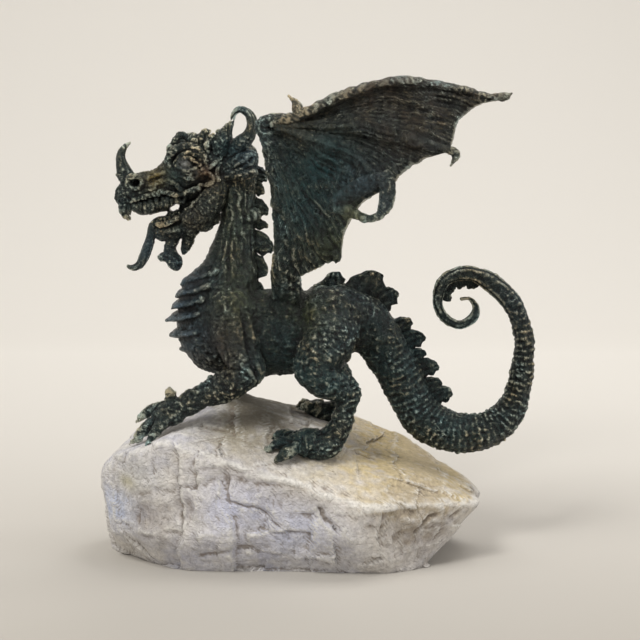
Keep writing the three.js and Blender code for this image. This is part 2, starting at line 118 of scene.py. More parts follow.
# %% The clay itself
class Clay:
    """Distance to the surface, in mm and negative inside, at the points of a regular grid."""

    def __init__(self, low, high, step):
        self.low = np.array(low, float)
        self.step = step
        self.count = np.ceil((np.array(high) - self.low) / step).astype(int) + 1
        self.field = np.full(self.count, FAR_AWAY, np.float32)

    def window(self, low, high):
        first = np.clip(np.floor((low - self.low) / self.step).astype(int), 0, self.count)
        last = np.clip(np.ceil((high - self.low) / self.step).astype(int) + 1, first, self.count)
        return first, last

    def grid(self, first, last):
        axes = [self.low[k] + self.step * np.arange(first[k], last[k]) for k in range(3)]
        return np.meshgrid(*[axis.astype(np.float32) for axis in axes], indexing="ij", sparse=True)

    def limb(self, stations, reach):
        """Distance to a limb with oval sections, near the limb."""
        radii = stations[:, 3:].max(1)[:, None]
        first, last = self.window(
            (stations[:, :3] - radii).min(0) - reach, (stations[:, :3] + radii).max(0) + reach
        )
        near = np.full(last - first, FAR_AWAY, np.float32)
        for a, b in zip(stations, stations[1:]):
            radius = max(a[3:].max(), b[3:].max()) + reach
            i, j = self.window(np.minimum(a[:3], b[:3]) - radius, np.maximum(a[:3], b[:3]) + radius)
            i, j = np.clip(i, first, last), np.clip(j, first, last)
            if (j <= i).any():
                continue
            x, y, z = self.grid(i, j)
            run = b[:3] - a[:3]
            length = max(float(run @ run), 1e-6)
            t = ((x - a[0]) * run[0] + (y - a[1]) * run[1] + (z - a[2]) * run[2]) / length
            t = np.clip(t, 0, 1)
            in_section = (x - a[0] - t * run[0]) ** 2 + (z - a[2] - t * run[2]) ** 2
            across = (y - a[1] - t * run[1]) ** 2
            depth = a[3] + t * (b[3] - a[3])
            width = a[4] + t * (b[4] - a[4])
            near_share = np.sqrt(in_section / depth**2 + across / width**2)
            steepness = np.sqrt(in_section / depth**4 + across / width**4) + 1e-6
            distance = near_share * (near_share - 1) / steepness
            part = tuple(slice(p - q, r - q) for p, q, r in zip(i, first, j))
            np.minimum(near[part], distance, out=near[part])
        return tuple(slice(p, q) for p, q in zip(first, last)), near

    def add(self, stations, blend=4.0, fine=6):
        run = flowing(stations, fine) if len(stations) > 1 else np.array([*stations, *stations], float)
        part, near = self.limb(run, blend + 4)
        old = self.field[part]
        meet = np.clip(blend - np.abs(old - near), 0, None) / blend
        self.field[part] = np.minimum(old, near) - meet * meet * blend / 4

    def cut(self, stations, blend=2.0, fine=6):
        run = flowing(stations, fine) if len(stations) > 1 else np.array([*stations, *stations], float)
        part, near = self.limb(run, blend + 4)
        old = self.field[part]
        meet = np.clip(blend - np.abs(old + near), 0, None) / blend
        self.field[part] = np.maximum(old, -near) + meet * meet * blend / 4


# %% [markdown]
# ## The skin over the clay
# Each grid cell that the surface crosses gets one point, at the mean of the crossings of its edges, and each
# crossed grid edge gets one four-sided face between the cells round it. The result is an even, closed mesh.

# %% Skin over the clay
def skin_over(clay):
    """Points in mm, four-sided faces turned outwards, and the normals of the points."""
    field = clay.field.copy()
    for axis in range(3):
        for edge in (0, -1):
            rim = [slice(None)] * 3
            rim[axis] = edge
            field[tuple(rim)] = np.maximum(field[tuple(rim)], 0.2)
    inside = field < 0
    cells = tuple(n - 1 for n in field.shape)
    crossed_edges = []
    total = np.zeros((*cells, 3), np.float32)
    hits = np.zeros(cells, np.float32)
    for axis in range(3):
        low = tuple(slice(0, n - 1) if k == axis else slice(None) for k, n in enumerate(field.shape))
        high = tuple(slice(1, n) if k == axis else slice(None) for k, n in enumerate(field.shape))
        crossed = inside[low] != inside[high]
        where = np.argwhere(crossed)
        a = field[low][crossed]
        b = field[high][crossed]
        place = where.astype(np.float32)
        place[:, axis] += a / (a - b)
        others = [k for k in range(3) if k != axis]
        for back in ((0, 0), (0, 1), (1, 0), (1, 1)):
            cell = where.copy()
            cell[:, others[0]] -= back[0]
            cell[:, others[1]] -= back[1]
            ok = ((cell >= 0) & (cell < np.array(cells))).all(1)
            flat = np.ravel_multi_index(cell[ok].T, cells)
            hits.ravel()[:] += np.bincount(flat, minlength=hits.size).astype(np.float32)
            for k in range(3):
                sums = np.bincount(flat, weights=place[ok][:, k], minlength=hits.size)
                total[..., k] += sums.reshape(cells).astype(np.float32)
        crossed_edges.append((axis, where, inside[low][crossed]))
    used = hits > 0
    number = np.full(cells, -1, np.int64)
    number[used] = np.arange(used.sum())
    points = clay.low + clay.step * total[used] / hits[used][:, None]
    faces = []
    for axis, where, starts_inside in crossed_edges:
        u, v = [(1, 2), (2, 0), (0, 1)][axis]
        ok = (where[:, u] > 0) & (where[:, v] > 0)
        ok &= (where[:, u] < cells[u]) & (where[:, v] < cells[v])
        where, starts_inside = where[ok], starts_inside[ok]
        corners = []
        for du, dv in ((-1, -1), (0, -1), (0, 0), (-1, 0)):
            cell = where.copy()
            cell[:, u] += du
            cell[:, v] += dv
            corners.append(number[tuple(cell.T)])
        quad = np.stack(corners, 1)
        quad[~starts_inside] = quad[~starts_inside][:, ::-1]
        faces.append(quad)
    faces = np.vstack(faces)
    gradient = np.stack([sample(clay, points + offset) - sample(clay, points - offset)
                         for offset in np.eye(3) * clay.step], 1)
    normals = gradient / (np.linalg.norm(gradient, axis=1, keepdims=True) + 1e-9)
    return points, faces, normals


def sample(clay, points):
    """The clay's distance at any points, between those of the grid."""
    place = np.clip((points - clay.low) / clay.step, 0, np.array(clay.count) - 1.001)
    base = np.floor(place).astype(int)
    share = place - base
    value = 0
    for corner in np.ndindex(2, 2, 2):
        at = base + np.array(corner)
        weight = np.prod(np.where(corner, share, 1 - share), 1)
        value = value + weight * clay.field[at[:, 0], at[:, 1], at[:, 2]]
    return value


# %% [markdown]
# ## Noise for the modelling tool's marks
# Wax and stone are never even. Three kinds of noise, each from its own seed, give soft swellings, ridges and
# rounded nodules. They depend only on the place, so two pieces that meet carry the same marks.

# %% Noise
def scatter(cells, seed):
    """An even random number for each whole-numbered cell."""
    mixed = cells[..., 0] * 374761393 + cells[..., 1] * 668265263 + cells[..., 2] * 1103515245 + seed * 69069
    mixed = (mixed ^ (mixed >> 13)) & 0x7FFFFFFF
    mixed = (mixed * 1274126177) & 0x7FFFFFFF
    mixed = mixed ^ (mixed >> 15)
    mixed = (mixed * 2246822519) & 0x7FFFFFFF
    return ((mixed ^ (mixed >> 11)) & 0xFFFFF) / float(0xFFFFF)


def swell(points, size, seed, octaves=3):
    """Soft noise from -1 to 1."""
    value, weight, sum_of_weights = 0, 1.0, 0.0
    for octave in range(octaves):
        place = points / size * 2**octave
        base = np.floor(place).astype(np.int64)
        share = place - base
        share = share * share * (3 - 2 * share)
        layer = 0
        for corner in np.ndindex(2, 2, 2):
            mix = np.prod(np.where(corner, share, 1 - share), 1)
            layer = layer + mix * scatter(base + np.array(corner), seed + octave)
        value = value + weight * (2 * layer - 1)
        sum_of_weights += weight
        weight *= 0.5
    return value / sum_of_weights


def ridges(points, size, seed, octaves=2):
    """Sharp crests, 1 on a crest and 0 far from one."""
    return np.clip(1 - 2.2 * np.abs(swell(points, size, seed, octaves)), 0, 1)


def nodules(points, size, seed, fill=0.62):
    """Rounded bumps from 0 to 1, one in each cell of this size."""
    place = points / size
    base = np.floor(place).astype(np.int64)
    nearest = np.full(len(points), 9.0)
    for corner in np.ndindex(3, 3, 3):
        cell = base + np.array(corner) - 1
        centre = cell + 0.5 + 0.62 * (
            np.stack([scatter(cell, seed + k) for k in range(3)], 1) - 0.5
        )
        nearest = np.minimum(nearest, ((place - centre) ** 2).sum(1))
    return np.sqrt(np.clip(1 - nearest / fill**2, 0, 1))


def chips(points, size, seed, tilt=0.5, bowl=0.6):
    """The lowest of many tilted bowls, one in each cell, in mm: facets that meet in edges and cracks."""
    place = points / size
    base = np.floor(place).astype(np.int64)
    lowest = np.full(len(points), 9.0)
    for corner in np.ndindex(3, 3, 3):
        cell = base + np.array(corner) - 1
        draw = np.stack([scatter(cell, seed + k) for k in range(7)], 1) - 0.5
        away = place - (cell + 0.5 + 0.8 * draw[:, :3])
        level = 0.3 * draw[:, 6] + 2 * tilt * (away * draw[:, 3:6]).sum(1) + bowl * (away**2).sum(1)
        lowest = np.minimum(lowest, level)
    return lowest * size


# %% [markdown]
# ## Colour that follows the form
# The real patina is black-green in the hollows, blue-green on the flats and worn to pale metal on the high
# points, with gold and brown in places. Each mesh keeps how high every point stands in one attribute and its
# local tint in another, so the finish can be made from the form and not from the view. On the cast pieces
# that attribute is also lowered in the creases between forms, as painted shade.

# %% Tints of the patina
# Each tint is [place in mm, how far it reaches, colour, strength].
GOLD = (0.30, 0.21, 0.055)
COPPER = (0.17, 0.075, 0.03)
TEAL = (0.020, 0.085, 0.095)
STEEL_BLUE = (0.07, 0.12, 0.17)
OLIVE = (0.085, 0.095, 0.03)
BROWN = (0.085, 0.06, 0.04)
TINTS = [
    [(-158, 0, 456), 16, GOLD, 0.75],
    [(-98, 0, 458), 15, COPPER, 0.8],
    [(-136, 0, 458), 13, TEAL, 0.8],
    [(-50, 0, 476), 20, STEEL_BLUE, 0.6],
    [(-70, 0, 490), 16, TEAL, 0.5],
    [(-168, 0, 374), 26, STEEL_BLUE, 0.6],
    [(-138, 0, 300), 26, STEEL_BLUE, 1.0],
    [(-120, 0, 335), 26, STEEL_BLUE, 0.75],
    [(-118, 0, 262), 26, STEEL_BLUE, 0.7],
    [(-58, 0, 320), 30, OLIVE, 0.7],
    [(-60, 0, 400), 40, OLIVE, 0.4],
    [(-75, 60, 260), 36, BROWN, 0.9],
    [(-75, -60, 260), 36, BROWN, 0.9],
    [(-132, 0, 284), 14, (0.30, 0.36, 0.38), 0.9],
    [(-8, 0, 240), 40, TEAL, 0.6],
    [(44, 0, 220), 30, TEAL, 0.5],
    [(20, 0, 300), 22, OLIVE, 0.8],
    [(8, 0, 150), 30, TEAL, 0.5],
    [(-123, 0, 472), 6, (0.42, 0.43, 0.42), 1.0],
    [(-110, 0, 408), 24, BROWN, 0.6],
    [(130, 0, 230), 50, TEAL, 0.5],
    [(190, 0, 150), 40, TEAL, 0.4],
    [(262, 0, 300), 40, STEEL_BLUE, 0.35],
]


def tint_of(points, tints):
    """The colour and strength of the local tint at each point."""
    colour = np.zeros((len(points), 3))
    weights = np.full(len(points), 1e-4)
    for place, reach, tone, strength in tints:
        away = points - np.array(place)
        if place[1] == 0:
            away[:, 1] = 0
        weight = strength * np.exp(-((away**2).sum(1)) / reach**2)
        colour += weight[:, None] * np.array(tone)
        weights += weight
    patchy = 0.75 + 0.6 * swell(points, 9, 71)
    return np.hstack([colour / weights[:, None], np.clip(weights * patchy, 0, 1)[:, None]])


# %% [markdown]
# Every piece ends as a plain mesh at the origin, in metres, so the patterns of its finish stay where they are
# when the piece is moved.

# %% A mesh object with these attributes
def keep(mesh, key, kind, values):
    """A value for each point of a mesh, in an attribute."""
    field = {"FLOAT": "value", "FLOAT_COLOR": "color", "FLOAT_VECTOR": "vector"}[kind]
    attribute = mesh.attributes.new(key, kind, "POINT")
    attribute.data.foreach_set(field, np.asarray(values, np.float32).ravel())


def mesh_piece(name, points_mm, faces, relief, material, tint):
    """A finished object at the origin, in metres, with its height and tint kept in attributes."""
    mesh = bpy.data.meshes.new(name)
    faces = np.asarray(faces)
    mesh.vertices.add(len(points_mm))
    mesh.vertices.foreach_set("co", (np.asarray(points_mm) * MM).astype(np.float32).ravel())
    corners = faces.shape[1]
    mesh.loops.add(faces.size)
    mesh.loops.foreach_set("vertex_index", faces.astype(np.int32).ravel())
    mesh.polygons.add(len(faces))
    mesh.polygons.foreach_set("loop_start", np.arange(0, faces.size, corners, dtype=np.int32))
    mesh.polygons.foreach_set("use_smooth", np.ones(len(faces), bool))
    mesh.update(calc_edges=True)
    keep(mesh, "relief", "FLOAT", relief)
    keep(mesh, "tint", "FLOAT_COLOR", tint)
    mesh.materials.append(material)
    piece = shown(name, mesh)
    print(name, len(faces) * (2 if corners == 4 else 1), "triangles")
    return piece


# %% [markdown]
# ## Shared shader groups
# Three effects are used by more than one finish: speckle breaks a colour up at several scales, wrinkle is a
# height of crumpled ridges and small scales, and grain turns that height and finer noise into a bumped
# normal. They are groups that give out masks, heights and normals only.

# %% Shader groups
def node(tree, kind, values=None, **settings):
    made = tree.nodes.new(kind)
    for key, value in settings.items():
        setattr(made, key, value)
    for key, value in (values or {}).items():
        made.inputs[key].default_value = value
    return made


def wire(source, out, target, into):
    """A link from one node's output to another's input."""
    source.id_data.links.new(source.outputs[out], target.inputs[into])


def group(name, kind, inputs, outputs):
    """A node group with sockets of {name: type}, and its input and output nodes."""
    tree = bpy.data.node_groups.new(name, kind)
    for way, sockets in (("INPUT", inputs), ("OUTPUT", outputs)):
        for key, socket in sockets.items():
            tree.interface.new_socket(key, in_out=way, socket_type="NodeSocket" + socket)
    return tree, node(tree, "NodeGroupInput"), node(tree, "NodeGroupOutput")


def ranged(tree, value, low, high, to_low, to_high):
    spread = node(
        tree,
        "ShaderNodeMapRange",
        {"From Min": low, "From Max": high, "To Min": to_low, "To Max": to_high},
    )
    tree.links.new(value, spread.inputs["Value"])
    return spread.outputs["Result"]


def speckle_group():
    """Object place in, and out a coarse, a middle and a fine mask from 0 to 1."""
    masks = {"coarse": "Float", "middle": "Float", "fine": "Float"}
    tree, given, result = group("speckle", "ShaderNodeTree", {"place": "Vector", "size": "Float"}, masks)
    for name, factor, detail in (("coarse", 1, 3), ("middle", 4, 4), ("fine", 17, 3)):
        scale = node(tree, "ShaderNodeMath", {1: float(factor)}, operation="MULTIPLY")
        wire(given, "size", scale, 0)
        noise = node(tree, "ShaderNodeTexNoise", {"Detail": float(detail), "Roughness": 0.6})
        wire(given, "place", noise, "Vector")
        wire(scale, 0, noise, "Scale")
        spread = node(tree, "ShaderNodeMapRange", {"From Min": 0.34, "From Max": 0.66})
        wire(noise, "Fac", spread, "Value")
        wire(spread, "Result", result, name)
    return tree


def wrinkle_group():
    """Object place and size in, and out a height from 0 to 1 of crumpled ridges between small scales."""
    tree, given, result = group(
        "wrinkle", "ShaderNodeTree", {"place": "Vector", "size": "Float"}, {"height": "Float"}
    )
    noise = node(tree, "ShaderNodeTexNoise", {"Detail": 4.0, "Roughness": 0.62, "Distortion": 0.9})
    scales = node(tree, "ShaderNodeTexVoronoi", {"Randomness": 1.0}, feature="DISTANCE_TO_EDGE")
    warped = node(tree, "ShaderNodeVectorMath", operation="MULTIPLY_ADD")
    warped.inputs[1].default_value = (0.012, 0.012, 0.012)
    wire(given, "place", noise, "Vector")
    wire(given, "size", noise, "Scale")
    wire(noise, "Color", warped, 0)
    wire(given, "place", warped, 2)
    wire(warped, 0, scales, "Vector")
    wire(given, "size", scales, "Scale")
    folded = node(tree, "ShaderNodeMath", {1: 0.5}, operation="SUBTRACT")
    wire(noise, "Fac", folded, 0)
    sharp = node(tree, "ShaderNodeMath", operation="ABSOLUTE")
    wire(folded, 0, sharp, 0)
    ridge = ranged(tree, sharp.outputs[0], 0.0, 0.2, 1.0, 0.0)
    scale_height = ranged(tree, scales.outputs["Distance"], 0.0, 0.32, 0.0, 1.0)
    both = node(tree, "ShaderNodeMath", {1: 0.55}, operation="MULTIPLY_ADD")
    tree.links.new(ridge, both.inputs[0])
    half = node(tree, "ShaderNodeMath", {1: 0.45}, operation="MULTIPLY")
    tree.links.new(scale_height, half.inputs[0])
    wire(half, 0, both, 2)
    wire(both, 0, result, "height")
    return tree


def grain_group():
    """Object place, size, depth and a coarser height in, and out a normal bumped by both."""
    wanted = {"place": "Vector", "size": "Float", "depth": "Float", "height": "Float"}
    wanted["height depth"] = "Float"
    tree, given, result = group("grain", "ShaderNodeTree", wanted, {"normal": "Vector"})
    noise = node(tree, "ShaderNodeTexNoise", {"Detail": 4.0, "Roughness": 0.65})
    wire(given, "place", noise, "Vector")
    wire(given, "size", noise, "Scale")
    coarse = node(tree, "ShaderNodeBump", {"Strength": 1.0})
    wire(given, "height", coarse, "Height")
    wire(given, "height depth", coarse, "Distance")
    bump = node(tree, "ShaderNodeBump", {"Strength": 1.0})
    wire(noise, "Fac", bump, "Height")
    wire(given, "depth", bump, "Distance")
    wire(coarse, "Normal", bump, "Normal")
    wire(bump, "Normal", result, "normal")
    return tree


def grouped(tree, group, place, **values):
    made = node(tree, "ShaderNodeGroup", node_tree=group)
    tree.links.new(place, made.inputs["place"])
    for key, value in values.items():
        made.inputs[key].default_value = value
    return made


def mix_colour(tree, factor, first, second, blend="MIX"):
    """A colour mixed from two, each given as a socket or as plain values."""
    mix = node(tree, "ShaderNodeMix", data_type="RGBA", blend_type=blend)
    for socket, value in ((mix.inputs[0], factor), (mix.inputs[6], first), (mix.inputs[7], second)):
        if isinstance(value, bpy.types.NodeSocket):
            tree.links.new(value, socket)
        elif isinstance(value, tuple):
            socket.default_value = (*value, 1)
        else:
            socket.default_value = value
    return mix.outputs[2]


def stepped(tree, value, stops):
    """A colour ramp over the value, with stops of (place, colour)."""
    ramp = node(tree, "ShaderNodeValToRGB")
    while len(ramp.color_ramp.elements) < len(stops):
        ramp.color_ramp.elements.new(0.5)
    for element, (place, colour) in zip(ramp.color_ramp.elements, stops):
        element.position = place
        element.color = (*colour, 1)
    tree.links.new(value, ramp.inputs["Fac"])
    return ramp.outputs["Color"]


def new_finish(name):
    """A new material, its tree and its shader."""
    material = bpy.data.materials.new(name)
    material.use_nodes = True
    return material, material.node_tree, material.node_tree.nodes["Principled BSDF"]


def kept_on(tree):
    """Sockets for the place on the object and the height kept on its mesh, and the node of its tint."""
    place = node(tree, "ShaderNodeTexCoord").outputs["Object"]
    relief = node(tree, "ShaderNodeAttribute", attribute_name="relief").outputs["Fac"]
    return place, relief, node(tree, "ShaderNodeAttribute", attribute_name="tint")


def added(tree, first, second):
    total = node(tree, "ShaderNodeMath", operation="ADD")
    tree.links.new(first, total.inputs[0])
    tree.links.new(second, total.inputs[1])
    return total.outputs[0]


SPECKLE = speckle_group()
WRINKLE = wrinkle_group()
GRAIN = grain_group()

# %% [markdown]
# ## Patinated bronze
# A founder colours bronze with hot salts, black and green, then rubs the high points back to metal and seals
# it with wax. So colour, gloss and how much bare metal shows all follow the relief, broken up by speckle. The
# relief of the cast pieces also carries painted shade in the creases between forms.

# %% Bronze
HOLLOW = (0.0018, 0.0024, 0.0026)
DARK = (0.0055, 0.010, 0.011)
VERDIGRIS = (0.017, 0.034, 0.036)
RUBBED = (0.105, 0.108, 0.09)
BRIGHT = (0.62, 0.60, 0.52)


def bronze_finish():
    material, tree, shader = new_finish("patinated bronze")
    place, relief, tint = kept_on(tree)
    speckle = grouped(tree, SPECKLE, place, size=26.0)
    wrinkle = grouped(tree, WRINKLE, place, size=235.0).outputs["height"]
    height = added(tree, ranged(tree, wrinkle, 0.15, 0.85, -0.2, 0.22), relief)
    worn = stepped(
        tree,
        height,
        [(0.1, HOLLOW), (0.36, DARK), (0.56, VERDIGRIS), (0.76, RUBBED), (1.0, BRIGHT)],
    )
    browner = mix_colour(tree, speckle.outputs["coarse"], (0.70, 1.02, 1.18), (1.2, 1.05, 0.80))
    base = mix_colour(tree, 1.0, worn, browner, "MULTIPLY")
    raised = ranged(tree, height, 0.2, 0.8, 0.1, 1.0)
    strength = node(tree, "ShaderNodeMath", operation="MULTIPLY")
    wire(tint, "Alpha", strength, 0)
    tree.links.new(raised, strength.inputs[1])
    tinted = mix_colour(tree, strength.outputs[0], base, tint.outputs["Color"])
    tree.links.new(tinted, shader.inputs["Base Color"])
    tree.links.new(ranged(tree, height, 0.3, 0.95, 0.3, 0.9), shader.inputs["Metallic"])
    gloss = ranged(tree, speckle.outputs["middle"], 0.0, 1.0, 0.22, 0.42)
    tree.links.new(gloss, shader.inputs["Roughness"])
    shader.inputs["Coat Weight"].default_value = 0.3
    shader.inputs["Coat Roughness"].default_value = 0.22
    grain = grouped(tree, GRAIN, place, size=620.0, depth=0.0009)
    tree.links.new(wrinkle, grain.inputs["height"])
    grain.inputs["height depth"].default_value = 0.0024
    wire(grain, "normal", shader, "Normal")
    wire(grain, "normal", shader, "Coat Normal")
    return material


BRONZE = bronze_finish()

# %% [markdown]
# ## Weathered limestone
# The stone is pale grey-white, lavender in patches, ochre on top and to the right, brown in its hollows. Its
# lit front carries the bluish cast of the light as painted colour, and its top a painted shadow under the
# dragon. Fine grain and pits catch the light from the side.

# %% Limestone
PALE = (0.80, 0.775, 0.74)
LAVENDER = (0.56, 0.57, 0.67)
OCHRE = (0.64, 0.52, 0.28)
EARTH = (0.24, 0.195, 0.155)
CHALK = (0.78, 0.77, 0.74)


def limestone_finish():
    material, tree, shader = new_finish("weathered limestone")
    place, relief, tint = kept_on(tree)
    speckle = grouped(tree, SPECKLE, place, size=12.0)
    base = mix_colour(tree, speckle.outputs["coarse"], LAVENDER, PALE)
    patchy = mix_colour(tree, ranged(tree, speckle.outputs["middle"], 0.3, 1.0, 0.0, 0.6), base, PALE)
    tinted = mix_colour(tree, tint.outputs["Alpha"], patchy, tint.outputs["Color"])
    wrinkle = grouped(tree, WRINKLE, place, size=110.0).outputs["height"]
    height = added(tree, ranged(tree, wrinkle, 0.1, 0.9, -0.1, 0.1), relief)
    hollowed = mix_colour(tree, ranged(tree, height, 0.0, 0.36, 0.75, 0.0), tinted, EARTH)
    worn = mix_colour(tree, ranged(tree, height, 0.52, 0.95, 0.0, 0.75), hollowed, CHALK)
    dusty = mix_colour(tree, speckle.outputs["fine"], (0.82, 0.81, 0.80), (1.06, 1.05, 1.03))
    tree.links.new(mix_colour(tree, 1.0, worn, dusty, "MULTIPLY"), shader.inputs["Base Color"])
    tree.links.new(ranged(tree, speckle.outputs["fine"], 0, 1, 0.82, 0.97), shader.inputs["Roughness"])
    grain = grouped(tree, GRAIN, place, size=480.0, depth=0.0012)
    tree.links.new(wrinkle, grain.inputs["height"])
    grain.inputs["height depth"].default_value = 0.0016
    wire(grain, "normal", shader, "Normal")
    return material


LIMESTONE = limestone_finish()

# %% [markdown]
# ## Neck, trunk and tail
# One run of oval sections carries the body from the neck down to the chest, and another from the chest along
# the back and out into the tail, which ends in a round curl. The stations are those of the CAD solids.

# %% Stations of neck, trunk and tail
NECK = in_plane([
    [-56, 478, 17, 15], [-60, 446, 20, 17.5], [-64, 410, 20, 18.5], [-67, 374, 24.5, 23],
    [-75, 338, 35, 32], [-85, 302, 48, 42], [-86, 268, 46, 42],
])
TRUNK = in_plane([
    [-104, 276, 30, 28], [-84, 272, 44, 40], [-48, 268, 51, 46], [-6, 269, 49, 45], [30, 275, 43, 41],
    [66, 284, 38, 38], [96, 272, 31, 31], [120, 239, 27, 27], [139, 202, 26.5, 26], [158, 169, 26, 25],
    [187, 149, 24.5, 24], [222, 146, 23.5, 22], [251, 156, 20.5, 19], [270, 182, 17, 16.5],
    [279, 218, 14, 14], [282, 256, 12.5, 12], [268, 300, 12, 11], [244, 327, 11, 10.5],
    [216, 340, 10, 10],
])
CURL_CENTRE = (203, 303)
# Each turn is [degrees, distance from the centre, thickness].
CURL = [
    [112, 35, 9.2], [142, 30, 8.6], [180, 26, 8], [222, 24, 7.2], [266, 25, 6.4], [306, 24, 5.8],
    [345, 21, 5], [385, 15, 4], [428, 7, 3.2],
]
for degrees, reach, radius in CURL:
    turn = math.radians(degrees)
    TRUNK.append([
        CURL_CENTRE[0] + reach * math.cos(turn), 0, CURL_CENTRE[1] + reach * math.sin(turn), radius, radius,
    ])
print(len(TRUNK), "stations from chest to tail tip")

# %% [markdown]
# The near legs and the far legs stand in different steps of the same walk, so each has its own run. Toes end
# in claws, because their last stations narrow to a point.

# %% Legs and toes
FORELEG_NEAR = [
    [-70, 30, 300, 28], [-64, 42, 276, 26], [-56, 52, 252, 21], [-49, 58, 230, 17.5],
    [-76, 62, 213, 15.5], [-103, 64, 202, 13.5], [-124, 66, 191, 12.5], [-142, 68, 181, 13],
    [-152, 68, 175, 9],
]
FORELEG_FAR = [
    [-70, 30, 300, 28], [-62, 42, 274, 25], [-52, 52, 246, 20], [-46, 58, 222, 16],
    [-68, 62, 202, 14.5], [-92, 64, 187, 12.5], [-110, 66, 178, 12], [-123, 67, 171, 12],
    [-132, 67, 167, 9],
]
HINDLEG_NEAR = [
    [48, 24, 292, 36], [46, 44, 266, 31], [31, 58, 234, 24], [50, 60, 219, 20], [66, 60, 207, 17],
    [65, 60, 186, 13], [59, 60, 166, 14], [42, 62, 146, 18], [20, 63, 148, 16.5], [5, 63, 149, 11],
]
HINDLEG_FAR = [
    [48, 24, 292, 36], [44, 44, 264, 30], [26, 56, 232, 23], [46, 58, 216, 18], [62, 58, 205, 15],
    [63, 57, 188, 12.5], [60, 56, 170, 12.5], [51, 57, 160, 13.5], [38, 58, 162, 12],
    [28, 58, 164, 8.5],
]
FORE_TOES_NEAR = [
    [[-146, 60, 186, 7], [-158, 57, 186, 6.5], [-167, 56, 182, 4.5], [-180, 55, 170, 0.8]],
    [[-146, 68, 180, 7], [-160, 70, 172, 6.5], [-170, 71, 162, 4.5], [-184, 72, 150, 0.8]],
    [[-144, 76, 176, 7], [-153, 82, 168, 6], [-160, 86, 158, 4.5], [-168, 90, 146, 0.8]],
]
FORE_TOES_FAR = [
    [[-126, 60, 173, 7], [-139, 56, 171, 6], [-148, 54, 167, 4.5], [-160, 52, 158, 0.8]],
    [[-126, 68, 171, 7], [-140, 70, 167, 6], [-149, 71, 161, 4.5], [-162, 72, 151, 0.8]],
    [[-124, 76, 168, 7], [-133, 82, 162, 6], [-140, 86, 155, 4.5], [-149, 90, 144, 0.8]],
]
HIND_TOES_NEAR = [
    [[9, 54, 149, 8], [-4, 51, 153, 7], [-13, 49, 153, 5.2], [-25, 47, 146, 0.8]],
    [[9, 64, 147, 8], [-5, 68, 149, 7.5], [-15, 71, 148, 5.4], [-29, 74, 139, 0.8]],
    [[14, 72, 145, 8], [3, 82, 144, 7], [-5, 89, 141, 5.2], [-16, 95, 132, 0.8]],
]
HIND_TOES_FAR = [
    [[33, 50, 165, 7], [24, 47, 168, 6.5], [17, 45, 170, 4.6], [7, 43, 166, 0.8]],
    [[33, 58, 164, 7], [23, 60, 167, 6.5], [15, 61, 169, 4.6], [5, 62, 165, 0.8]],
    [[36, 66, 162, 7], [27, 74, 163, 6.5], [20, 79, 163, 4.6], [10, 84, 158, 0.8]],
]
FORE_SPUR = [[-112, 62, 197, 5], [-104, 60, 208, 4], [-90, 58, 226, 0.8]]
WRIST_KNOB = [[-136, 62, 194, 6], [-138, 60, 202, 5], [-139, 60, 207, 2]]
SHOULDER = [[0, 12, 288, 24], [-4, 26, 318, 17], [-5, 40, 342, 12]]
ARM = [
    [-23, 119, 520, 11], [-14, 104, 478, 9.5], [-8, 84, 430, 9.5], [-4, 64, 386, 10.5],
    [-6, 48, 356, 12], [-2, 32, 326, 15],
]
# The groove between the upper foreleg and the belly.
ELBOW_GROOVE = [
    [-56, 56, 308, 3], [-50, 61, 284, 4.5], [-46, 67, 262, 4.5], [-43, 72, 244, 4], [-38, 69, 228, 3],
]
NEAR, FAR = -1, 1


# %% [markdown]
# ## Where a point lies along a limb
# Wrinkles run round a limb and plates stand along it, so the relief needs to know how far along the limb a
# point lies and on which side of it. Both come from the nearest place on the run of stations.

# %% Place along a run
def along_run(points, stations, fine=6, block=20000):
    """For each point: its length along the run in mm, and how far it faces the back."""
    run = flowing(stations, fine)[:, :3]
    start, end = run[:-1], run[1:]
    lengths = np.linalg.norm(end - start, axis=1)
    before = np.concatenate([[0], np.cumsum(lengths)])
    direction = (end - start) / lengths[:, None]
    along, facing = [], []
    for first in range(0, len(points), block):
        p = points[first:first + block]
        away = p[:, None, :] - start[None]
        t = np.clip((away * direction[None]).sum(2) / lengths, 0, 1)
        offset = away - t[..., None] * (end - start)[None]
        distance = np.linalg.norm(offset, axis=2)
        best = distance.argmin(1)
        row = np.arange(len(p))
        along.append(before[best] + t[row, best] * lengths[best])
        back = np.stack([-direction[best][:, 2], 0 * best, direction[best][:, 0]], 1)
        facing.append((offset[row, best] * back).sum(1) / (distance[row, best] + 1e-6))
    return np.concatenate(along), np.concatenate(facing)


def back_at(stations, place):
    """The middle, the direction, the way to the back and the depth at a place of a run."""
    run = flowing(stations, 6)
    at = min(place * 6, len(run) - 1.001)
    index = int(at)
    station = run[index] + (at - index) * (run[index + 1] - run[index])
    ahead = run[min(index + 2, len(run) - 1)][:3] - run[max(index - 1, 0)][:3]
    ahead /= np.linalg.norm(ahead)
    return station[:3], ahead, np.array([-ahead[2], 0, ahead[0]]), station[3]


# %% [markdown]
# ## Body
# The clay for the body takes the neck, trunk, legs and the roots of the wings. It is skinned in two halves
# that meet at a plane through the waist, so that neither mesh grows too large, and it ends at a plane behind
# the hips, where the tail's own clay takes over on the same stations.

# %% Body in clay
WAIST = -9.0
TAIL_STARTS = 112.0
# Neighbouring clays overlap by two cells, so that the edge of each flat end is buried.
WAIST_OVERLAP, TAIL_OVERLAP, MUZZLE_OVERLAP = 3.1, 3, 2

# Each plate ends in a tip at [x, z] and is so wide at its root.
BREAST_PLATES = [
    [-84, 386, 15], [-96, 367, 18], [-104, 354, 20], [-114, 341, 23], [-127, 328, 26], [-135, 313, 28],
    [-142, 299, 30], [-148, 284, 30], [-143, 266, 29], [-132, 249, 27], [-118, 237, 24],
    [-102, 226, 20],
]


